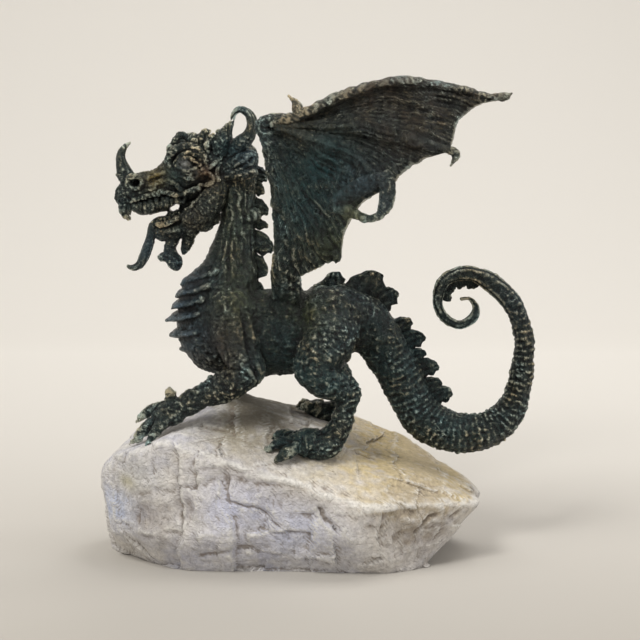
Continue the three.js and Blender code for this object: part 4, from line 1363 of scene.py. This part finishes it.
# %% Row tree
def row_tree():
    wanted = {"Row": "Geometry", "Pattern": "Object", "Finish": "Material"}
    wanted.update({"Size": "Float", "Uneven": "Float"})
    tree, given, result = group("row on a path", "GeometryNodeTree", wanted, {"Copies": "Geometry"})
    info = node(tree, "GeometryNodeObjectInfo")
    wire(given, "Pattern", info, "Object")
    along = node(tree, "GeometryNodeInputNamedAttribute", {"Name": "along"}, data_type="FLOAT_VECTOR")
    out = node(tree, "GeometryNodeInputNamedAttribute", {"Name": "out"}, data_type="FLOAT_VECTOR")
    tall = node(tree, "GeometryNodeInputNamedAttribute", {"Name": "size"}, data_type="FLOAT_VECTOR")
    turn = node(tree, "FunctionNodeAxesToRotation", primary_axis="Z", secondary_axis="X")
    wire(out, "Attribute", turn, "Primary Axis")
    wire(along, "Attribute", turn, "Secondary Axis")
    random = node(tree, "FunctionNodeRandomValue", {"Seed": 7}, data_type="FLOAT")
    less = node(tree, "ShaderNodeMath", {0: 1.0}, operation="SUBTRACT")
    more = node(tree, "ShaderNodeMath", {0: 1.0}, operation="ADD")
    for limit in (less, more):
        wire(given, "Uneven", limit, 1)
    wire(less, 0, random, 2)
    wire(more, 0, random, 3)
    sized = node(tree, "ShaderNodeMath", operation="MULTIPLY")
    wire(random, 1, sized, 0)
    wire(given, "Size", sized, 1)
    scale = node(tree, "ShaderNodeVectorMath", operation="SCALE")
    wire(tall, "Attribute", scale, "Vector")
    wire(sized, 0, scale, "Scale")
    stand = node(tree, "GeometryNodeInstanceOnPoints")
    wire(given, "Row", stand, "Points")
    wire(info, "Geometry", stand, "Instance")
    wire(turn, "Rotation", stand, "Rotation")
    wire(scale, "Vector", stand, "Scale")
    real = node(tree, "GeometryNodeRealizeInstances")
    wire(stand, "Instances", real, "Geometry")
    finish = node(tree, "GeometryNodeSetMaterial")
    wire(real, "Geometry", finish, "Geometry")
    wire(given, "Finish", finish, "Material")
    wire(finish, "Geometry", result, "Copies")
    return tree


ROW_TREE = row_tree()


def row_piece(name, pattern, stands, uneven=0.08, rough=0.0):
    """Copies of a pattern on stands of (point in mm, along, out, size in mm), as one plain mesh."""
    mesh = bpy.data.meshes.new(name + " row")
    mesh.from_pydata([Vector(stand[0]) * MM for stand in stands], [], [])
    for key, column in (("along", 1), ("out", 2), ("size", 3)):
        values = np.array([stand[column] for stand in stands], np.float32)
        if key == "size":
            values = values * MM
        keep(mesh, key, "FLOAT_VECTOR", values)
    holder = shown(name + " row", mesh)
    modifier = holder.modifiers.new("row", "NODES")
    modifier.node_group = ROW_TREE
    inputs = {item.name: item.identifier for item in ROW_TREE.interface.items_tree if item.in_out == "INPUT"}
    modifier[inputs["Pattern"]] = pattern
    modifier[inputs["Finish"]] = BRONZE
    modifier[inputs["Size"]] = 1.0
    modifier[inputs["Uneven"]] = uneven
    evaluated = holder.evaluated_get(bpy.context.evaluated_depsgraph_get())
    copies = bpy.data.meshes.new_from_object(evaluated)
    bpy.data.objects.remove(holder)
    flat = np.empty(len(copies.vertices) * 3, np.float32)
    copies.vertices.foreach_get("co", flat)
    points_mm = flat.reshape(-1, 3) / MM
    if rough:
        normals = np.empty(len(copies.vertices) * 3, np.float32)
        copies.vertices.foreach_get("normal", normals)
        height = 1.2 * nodules(points_mm, 5, 121) + 0.9 * ridges(points_mm, 7, 123) - 0.8
        points_mm = points_mm + normals.reshape(-1, 3) * rough * height[:, None]
        copies.vertices.foreach_set("co", (points_mm * MM).astype(np.float32).ravel())
        relief = np.empty(len(copies.vertices), np.float32)
        copies.attributes["relief"].data.foreach_get("value", relief)
        relief = np.clip(relief + 0.25 * (height - 0.2), 0, 1)
        copies.attributes["relief"].data.foreach_set("value", relief)
    keep(copies, "tint", "FLOAT_COLOR", tint_of(points_mm, TINTS))
    copies.polygons.foreach_set("use_smooth", np.ones(len(copies.polygons), bool))
    piece = shown(name, copies)
    print(name, len(stands), "copies,", len(copies.polygons), "faces")
    return piece


# %% [markdown]
# Each pattern is a closed ball pressed into shape: a grooved leaf for the crest, a curved cone for a tooth
# and a small bead for the rows on the jaw.

# %% Patterns
def ball_points(rings, sides):
    """Unit directions of a closed ball and its faces."""
    points = [(0.0, 0.0, 1.0)]
    for ring_index in range(1, rings):
        tilt = math.pi * ring_index / rings
        for side in range(sides):
            turn = 2 * math.pi * side / sides
            points.append((math.sin(tilt) * math.cos(turn), math.sin(tilt) * math.sin(turn), math.cos(tilt)))
    points.append((0.0, 0.0, -1.0))
    faces = []
    for side in range(sides):
        after = (side + 1) % sides
        faces.append((0, 1 + side, 1 + after))
        for ring_index in range(rings - 2):
            a = 1 + ring_index * sides
            faces.append((a + side, a + sides + side, a + sides + after, a + after))
        last = 1 + (rings - 2) * sides
        faces.append((len(points) - 1, last + after, last + side))
    return np.array(points), faces


def pattern_object(name, points, faces, relief):
    mesh = bpy.data.meshes.new(name)
    mesh.from_pydata([tuple(point) for point in points], [], faces)
    keep(mesh, "relief", "FLOAT", relief)
    return bpy.data.objects.new(name, mesh)


def crest_pattern():
    """A fleshy leaf: root at 0, rounded tip at height 1, with lobes behind, leaning back, grooved."""
    rings, sides = 18, 32
    points, faces = ball_points(rings, sides)
    relief = []
    for index, (x, y, z) in enumerate(points):
        height = 0.5 * (z + 1)
        flare = math.sqrt(max(0, 1 - z * z)) + 1e-6
        across = x / flare
        outline = 0.52 + 0.1 * math.sin(math.pi * height) - 0.2 * height**3
        outline *= 1 + 0.13 * math.cos(19 * height) * (0.35 + 0.65 * (across > 0) * across)
        thick = 0.25 * (1.1 - 0.62 * height)
        groove = 0.72 + 0.28 * math.cos(10 * across + 2 * height)
        lean = 0.3 * height**1.5
        points[index] = (
            across * outline * flare**0.4 + lean,
            y / flare * thick * groove * flare**0.55,
            -0.35 + 1.35 * height,
        )
        relief.append(0.18 + 0.34 * height**2 + 0.5 * (groove - 0.6))
    return pattern_object("crest leaf", points, faces, relief)


def tooth_pattern():
    points, faces = ball_points(8, 10)
    relief = []
    for index, (x, y, z) in enumerate(points):
        height = 0.5 * (z + 1)
        narrow = (1 - height) ** 0.75 + 0.06
        flare = math.sqrt(max(0, 1 - z * z)) + 1e-6
        points[index] = (x / flare * narrow * min(1, 3 * flare) + 0.2 * height**2,
                         y / flare * narrow * min(1, 3 * flare), -0.3 + 1.3 * height)
        relief.append(0.45 + 0.4 * height)
    return pattern_object("tooth", points, faces, relief)


def bead_pattern():
    points, faces = ball_points(8, 12)
    return pattern_object("bead", points, faces, 0.35 + 0.45 * np.clip(points[:, 2], 0, 1))


CREST_LEAF = crest_pattern()
TOOTH = tooth_pattern()
BEAD = bead_pattern()

# %% [markdown]
# The crest runs from the nape to the tail. Its lobes differ down the neck, three large leaves stand over the
# hips, and behind them the plates follow the tail, larger and smaller in turn.

# %% Crest
# The lobes down the nape differ, so each is [height of its root, how far it stands out, its width].
NAPE_LOBES = [
    [463, 17, 17], [447, 15, 16], [425, 25, 21], [404, 25, 14], [383, 28, 24], [359, 25, 27],
    [333, 19, 21], [312, 14, 16],
]


def nape_stands():
    """Stands for the lobes down the nape, leaning slightly down."""
    stands = []
    for z, height, width in NAPE_LOBES:
        place = next(p for p in np.arange(0, 6, 0.02) if back_at(NECK, p)[0][2] <= z)
        middle, along, out, depth = back_at(NECK, place)
        stands.append((middle + out * depth * 0.86, along, out, (width * 0.95, 15, height * 0.92)))
    return stands


def crest_row(stations, start, end, share, alternate, least):
    """Stands for crest plates, paced along the back, larger and smaller in turn."""
    stands = []
    place = start
    while place < end:
        middle, along, out, depth = back_at(stations, place)
        turn = 1 + alternate if len(stands) % 2 else 1 - alternate
        height = max(least, depth * share) * turn
        foot = middle + out * depth * 0.9
        stands.append((foot, along, out, (height * 0.95, height * 0.95, height * 1.06)))
        step = 0.05
        ahead_middle, _, ahead_out, ahead_depth = back_at(stations, place + step)
        pace = np.linalg.norm(ahead_middle + ahead_out * ahead_depth - middle - out * depth) / step
        place += (height * 0.86 + 2.5) / pace
    return stands


# The three large leaves over the hips, each [place on the run, height, width].
BACK_LEAVES = [[4.7, 24, 26], [5.3, 30, 34], [5.7, 27, 27]]


def back_stands():
    stands = []
    for place, height, width in BACK_LEAVES:
        middle, along, out, depth = back_at(TRUNK, place)
        leaning = out + 0.12 * along
        leaning /= np.linalg.norm(leaning)
        stands.append((middle + out * depth * 0.95, along, leaning, (width, 20, height)))
    return stands


crest = row_piece(
    "crest_plates",
    CREST_LEAF,
    [*nape_stands(), *back_stands(), *crest_row(TRUNK, 6.4, 20.4, 0.72, 0.13, 8)],
    rough=1.0,
)

# %% [markdown]
# Teeth hang from the upper lip and stand in the front of the jaw, and beads run along the chin. Both follow
# the runs that shaped the lips, on both sides of the head.

# %% Teeth and jaw beads
def side_row(run, count, out, size, start=0.0, end=1.0, lift=(0, 0, 0)):
    """Stands at even places of a run on both sides of the head."""
    stands = []
    for side in (NEAR, FAR):
        path = flowing(on_side(side, run), 8)
        for i in range(count):
            at = (start + (end - start) * i / max(1, count - 1)) * (len(path) - 1.001)
            index = int(at)
            point = path[index] + (at - index) * (path[index + 1] - path[index])
            ahead = path[index + 1][:3] - path[index][:3]
            ahead /= np.linalg.norm(ahead)
            grown = 0.8 + 0.35 * abs(math.sin(1.9 * i + 1))
            stands.append((
                point[:3] + np.array([lift[0], side * lift[1], lift[2]]),
                ahead,
                (out[0], side * out[1], out[2]),
                tuple(value * grown for value in size),
            ))
    return stands


teeth = row_piece(
    "teeth",
    TOOTH,
    [
        *side_row(LIPS[0][1:6], 9, (-0.1, -0.05, -1), (3.0, 2.8, 9), lift=(0, -2.5, -8)),
        *side_row(JAW_RIM[6:9], 5, (-0.1, -0.1, 1), (2.6, 2.4, 6), lift=(0, -3, 0)),
    ],
)
JAW_CHIN = [[-152, 10, 391, 2], [-142, 12.5, 391, 2], [-130, 14, 393, 2]]
beads = row_piece(
    "jaw_beads",
    BEAD,
    side_row(JAW_CHIN, 11, (0, 1, 0.1), (2.3, 2.3, 2.3), lift=(0, 1, 0)),
)

# %% [markdown]
# ## Boulder
# The stone keeps the rule of the CAD solid, a block of named faces, but with sharper edges. Its skin is the
# grid of a plain block carried out onto that rule, broken into facets of three sizes, stepped at its ledges,
# dented and cracked at the places seen on the real stone.

# %% Boulder rule
STONE_MIDDLE = np.array([0, 0, 75.0])
STONE_SHARPNESS = 44
# The grid on the stone is that of a block of these half sizes, cut into so many cells.
STONE_HALVES = (225, 112, 88)
STONE_CELLS = (186, 92, 72)
# Each face is a point that it passes and the way that it looks.
STONE_FACES = [
    [(-226, 0, 70), (-1, 0, -0.05)],
    [(-206, -20, 126), (-0.7, 0.05, 0.7)],
    [(-190, -82, 60), (-0.65, -0.75, 0)],
    [(-170, -60, 8), (-0.45, -0.55, -0.7)],
    [(-20, -120, 75), (-0.08, -1, 0.06)],
    [(-40, -95, 12), (-0.05, -0.8, -0.55)],
    [(128, -104, 60), (0.4, -0.9, -0.2)],
    [(206, -20, 38), (0.74, -0.1, -0.66)],
    [(236, 0, 88), (1, 0, 0.12)],
    [(172, 85, 70), (0.7, 0.7, 0)],
    [(0, 116, 70), (0, 1, 0)],
    [(-170, 85, 75), (-0.62, 0.78, 0.1)],
    [(-100, 0, 177), (-0.36, -0.03, 0.93)],
    [(-35, 50, 190), (0.05, 0, 1)],
    [(40, 40, 150), (0.31, -0.08, 0.94)],
    [(150, 20, 114), (0.42, 0, 0.9)],
    [(20, -86, 122), (0.24, -0.36, 0.9)],
    [(-110, 92, 142), (-0.2, 0.6, 0.77)],
]


def stone_reach(rays):
    """How far the stone reaches from its middle along unit rays."""
    total = 0
    for at, looks in STONE_FACES:
        normal = np.array(looks, float) / np.linalg.norm(looks)
        distance = normal @ (np.array(at) - STONE_MIDDLE)
        total = total + (np.clip(rays @ normal, 0, None) / distance) ** STONE_SHARPNESS
    return total ** (-1 / STONE_SHARPNESS)


def block_grid(counts, halves):
    """Unit rays through the grid points of a block's six faces, shared along its edges, and the faces."""
    lines = [np.linspace(-half, half, n + 1) for n, half in zip(counts, halves)]
    points, faces, used = [], [], 0
    for axis in range(3):
        u, v = (axis + 1) % 3, (axis + 2) % 3
        a, b = np.meshgrid(lines[u], lines[v], indexing="ij")
        i, j = np.meshgrid(np.arange(counts[u]), np.arange(counts[v]), indexing="ij")
        row = counts[v] + 1
        corner = (i * row + j).ravel()
        quad = np.stack([corner, corner + row, corner + row + 1, corner + 1], 1)
        for end in (1, -1):
            sheet = np.empty((a.size, 3))
            sheet[:, axis], sheet[:, u], sheet[:, v] = end * halves[axis], a.ravel(), b.ravel()
            points.append(sheet)
            faces.append((quad if end > 0 else quad[:, ::-1]) + used)
            used += a.size
    points = np.concatenate(points)
    keys = np.round(points * 1e3).astype(np.int64)
    _, first, inverse = np.unique(keys, axis=0, return_index=True, return_inverse=True)
    points = points[first]
    return points / np.linalg.norm(points, axis=1, keepdims=True), inverse.ravel()[np.vstack(faces)]


# %% [markdown]
# A quarried boulder breaks along flat faces, so tilted planes make its surface and the fine cracks between
# them. The surface keeps its level under the feet, so that they stand on it.

# %% Boulder
# Each crack is a run of points on the front of the stone, [x, z], with its depth and width.
CRACKS = [
    [[(-71, 118), (-72, 106), (-69, 97), (-70, 90), (-53, 86), (-33, 82), (-22, 70), (-12, 60)], 3.6, 1.7],
    [[(36, 85), (44, 70), (55, 60)], 7, 2.6],
    [[(30, 79), (33, 74)], 4, 2.4],
    [[(148, 49), (158, 58), (166, 64), (176, 67)], 6, 2.4],
    [[(192, 62), (204, 68)], 4, 2.2],
    [[(-100, 24), (-72, 30), (-46, 30), (-36, 24)], 3, 3],
]
# Each dent is [x, z], half sizes along x and z, and its depth.
DENTS = [
    [(-156, 66), (34, 20), 7],
    [(-122, 84), (17, 24), 4],
    [(150, 82), (40, 17), 4],
    [(160, 44), (46, 14), 4],
]
# Each ledge is a run of points below which the stone steps back a little, with the size of the step.
LEDGES = [
    [[(-190, 43), (-160, 49), (-140, 55), (-118, 56)], 5],
    [[(-190, 96), (-150, 106), (-110, 112), (-72, 126), (-40, 118), (0, 114), (36, 112), (54, 104), (90, 99),
      (118, 101), (150, 106), (184, 92)], 4],
]
# The four places where a sole stands, which keep the level of the CAD solid.
SOLES = [(-156, -68), (-132, 67), (8, -63), (34, 58)]
SOLE_REACH = 26
STONE_TINTS = [
    [(-60, 0, 150), 45, (0.60, 0.52, 0.34), 0.5],
    [(20, 0, 124), 50, (0.62, 0.54, 0.36), 0.6],
    [(90, 0, 130), 46, OCHRE, 0.8],
    [(150, 0, 118), 46, OCHRE, 0.95],
    [(210, 0, 98), 30, OCHRE, 0.95],
    # painted shadow of the dragon, dark grey on the top of the stone
    [(-60, 0, 182), 36, (0.22, 0.21, 0.19), 0.95],
    [(-20, 0, 172), 30, (0.27, 0.26, 0.25), 0.8],
    [(-161, 0, 66), 26, (0.33, 0.29, 0.25), 0.9],
    [(-118, 0, 84), 16, (0.38, 0.35, 0.33), 0.8],
    [(150, 0, 80), 40, (0.40, 0.36, 0.33), 0.8],
    [(150, 0, 36), 60, (0.34, 0.30, 0.26), 0.7],
    [(-180, 0, 118), 26, (0.60, 0.61, 0.62), 0.8],
    # the bluish cast of the light on the lit front, painted as colour
    [(-60, 0, 84), 44, (0.62, 0.65, 0.83), 0.95],
    [(20, 0, 60), 44, (0.62, 0.66, 0.84), 0.95],
    [(-206, 0, 70), 26, (0.58, 0.65, 0.84), 0.95],
    [(-188, 0, 104), 9, (0.66, 0.60, 0.34), 0.8],
]


def away_from_path(points, path):
    """The distance in x and z from each point to a path."""
    nearest = np.full(len(points), 1e3)
    for a, b in zip(np.array(path, float), np.array(path[1:], float)):
        run = b - a
        t = np.clip(((points - a) @ run) / (run @ run), 0, 1)
        nearest = np.minimum(nearest, np.linalg.norm(points - a - t[:, None] * run, axis=1))
    return nearest


def boulder_piece():
    rays, faces = block_grid(STONE_CELLS, STONE_HALVES)
    points = STONE_MIDDLE + rays * stone_reach(rays)[:, None]
    front = np.clip(-points[:, 1] / 20, 0, 1)
    warp = 7 * swell(points, 26, 109)[:, None] * np.array([1, 0.5, 0.8])
    height = 0.28 * chips(points + warp, 64, 103, 0.7, 0.25) + 0.24 * chips(points + warp, 26, 105, 0.8, 0.2)
    height += 0.12 * chips(points + warp, 10, 106, 0.8, 0.2)
    height -= height.mean()
    height += 3.4 * swell(points, 60, 101, 3) + 1.1 * swell(points, 9, 107, 3)
    flat = points[:, [0, 2]] + 3 * np.stack([swell(points, 12, 113), swell(points, 12, 115)], 1)
    for (x, z), (wide, tall), depth in DENTS:
        reach = ((flat[:, 0] - x) / wide) ** 2 + ((flat[:, 1] - z) / tall) ** 2
        height -= depth * np.clip(1 - reach, 0, 1) ** 0.8 * front
    for path, depth in LEDGES:
        along, level = np.array(path, float).T
        edge = np.interp(flat[:, 0], along, level)
        below = np.clip((edge - flat[:, 1]) / 5, 0, 1) * np.exp(-np.clip(edge - flat[:, 1], 0, None) / 22)
        beyond = np.clip(np.minimum(flat[:, 0] - along[0], along[-1] - flat[:, 0]) / 12, 0, 1)
        height -= depth * below * beyond * front
    for x, y in SOLES:
        from_sole = (points[:, 0] - x) ** 2 + (points[:, 1] - y) ** 2
        height *= 1 - 0.85 * np.exp(-from_sole / SOLE_REACH**2)
    crack = 0
    for path, depth, width in CRACKS:
        crack = crack + depth * np.exp(-((away_from_path(flat, path) / width) ** 2)) * front
    height -= crack
    moved = points + rays * np.minimum(height, 4.5)[:, None]
    moved[:, 2] = np.maximum(moved[:, 2], 0)
    relief = np.clip(worn(moved, faces, 2) - crack / 14, 0, 1)
    return mesh_piece("stone", moved, faces, relief, LIMESTONE, tint_of(moved, STONE_TINTS))


stone = boulder_piece()

# %% [markdown]
# ## Stage and light
# A plain pale floor sweeps up behind the statue without a corner. A large soft light from above and in front
# gives the sheen along the back and the wing, and two weaker ones fill the shadows.

# %% Stage
# The paper is shaded darker towards the camera.
NEAR_PAPER = (0.34, 0.318, 0.285)
FAR_PAPER = (0.86, 0.84, 0.80)


def sweep():
    """A floor that curves up into a backdrop, as one sheet."""
    profile = [(-6, 0), (1.6, 0)]
    for i in range(1, 13):
        turn = math.pi / 2 * i / 12
        profile.append((1.6 + 1.4 * math.sin(turn), 1.4 * (1 - math.cos(turn))))
    profile.append((3.0, 5))
    points = [(x, y, z) for y, z in profile for x in (-6, 6)]
    faces = [(2 * i, 2 * i + 1, 2 * i + 3, 2 * i + 2) for i in range(len(profile) - 1)]
    mesh = bpy.data.meshes.new("floor")
    mesh.from_pydata(points, [], faces)
    mesh.polygons.foreach_set("use_smooth", np.ones(len(faces), bool))
    floor = shown("floor", mesh)
    material, tree, shader = new_finish("pale floor")
    apart = node(tree, "ShaderNodeSeparateXYZ")
    wire(node(tree, "ShaderNodeTexCoord"), "Object", apart, 0)
    away = ranged(tree, apart.outputs["Y"], -0.6, 1.5, 0.0, 1.0)
    tree.links.new(mix_colour(tree, away, NEAR_PAPER, FAR_PAPER), shader.inputs["Base Color"])
    shader.inputs["Roughness"].default_value = 0.9
    mesh.materials.append(material)
    return floor


def soft_light(name, place, size, power, colour):
    data = bpy.data.lights.new(name, "AREA")
    data.size = size
    data.energy = power
    data.color = colour
    light = shown(name, data)
    light.location = place
    light.rotation_euler = (TARGET - Vector(place)).to_track_quat("-Z", "Y").to_euler()
    return light


floor = sweep()
soft_light("key light", (-0.9, -1.5, 2.3), 0.9, 46, (1.0, 0.98, 0.94))
soft_light("top light", (0.7, 0.2, 2.4), 1.2, 26, (1.0, 0.98, 0.96))
soft_light("side light", (2.2, -1.2, 0.9), 1.0, 10, (0.93, 0.96, 1.0))
world = bpy.data.worlds.new("studio")
world.use_nodes = True
world.node_tree.nodes["Background"].inputs["Color"].default_value = (0.86, 0.82, 0.77, 1)
world.node_tree.nodes["Background"].inputs["Strength"].default_value = 0.66
bpy.context.scene.world = world
bpy.context.scene.view_settings.view_transform = "Standard"

# %% [markdown]
# ## Riding on the body
# Every piece rides on the one rigid body and stands for its CAD node.

# %% Ride, replace and finish
BRONZE_PIECES = [chest, hips, tail, head, muzzle, *wings, *bones, crest, teeth, beads]
for piece in BRONZE_PIECES:
    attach(piece, "root")
    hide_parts("dragon")
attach(stone, "root")
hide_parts("boulder")
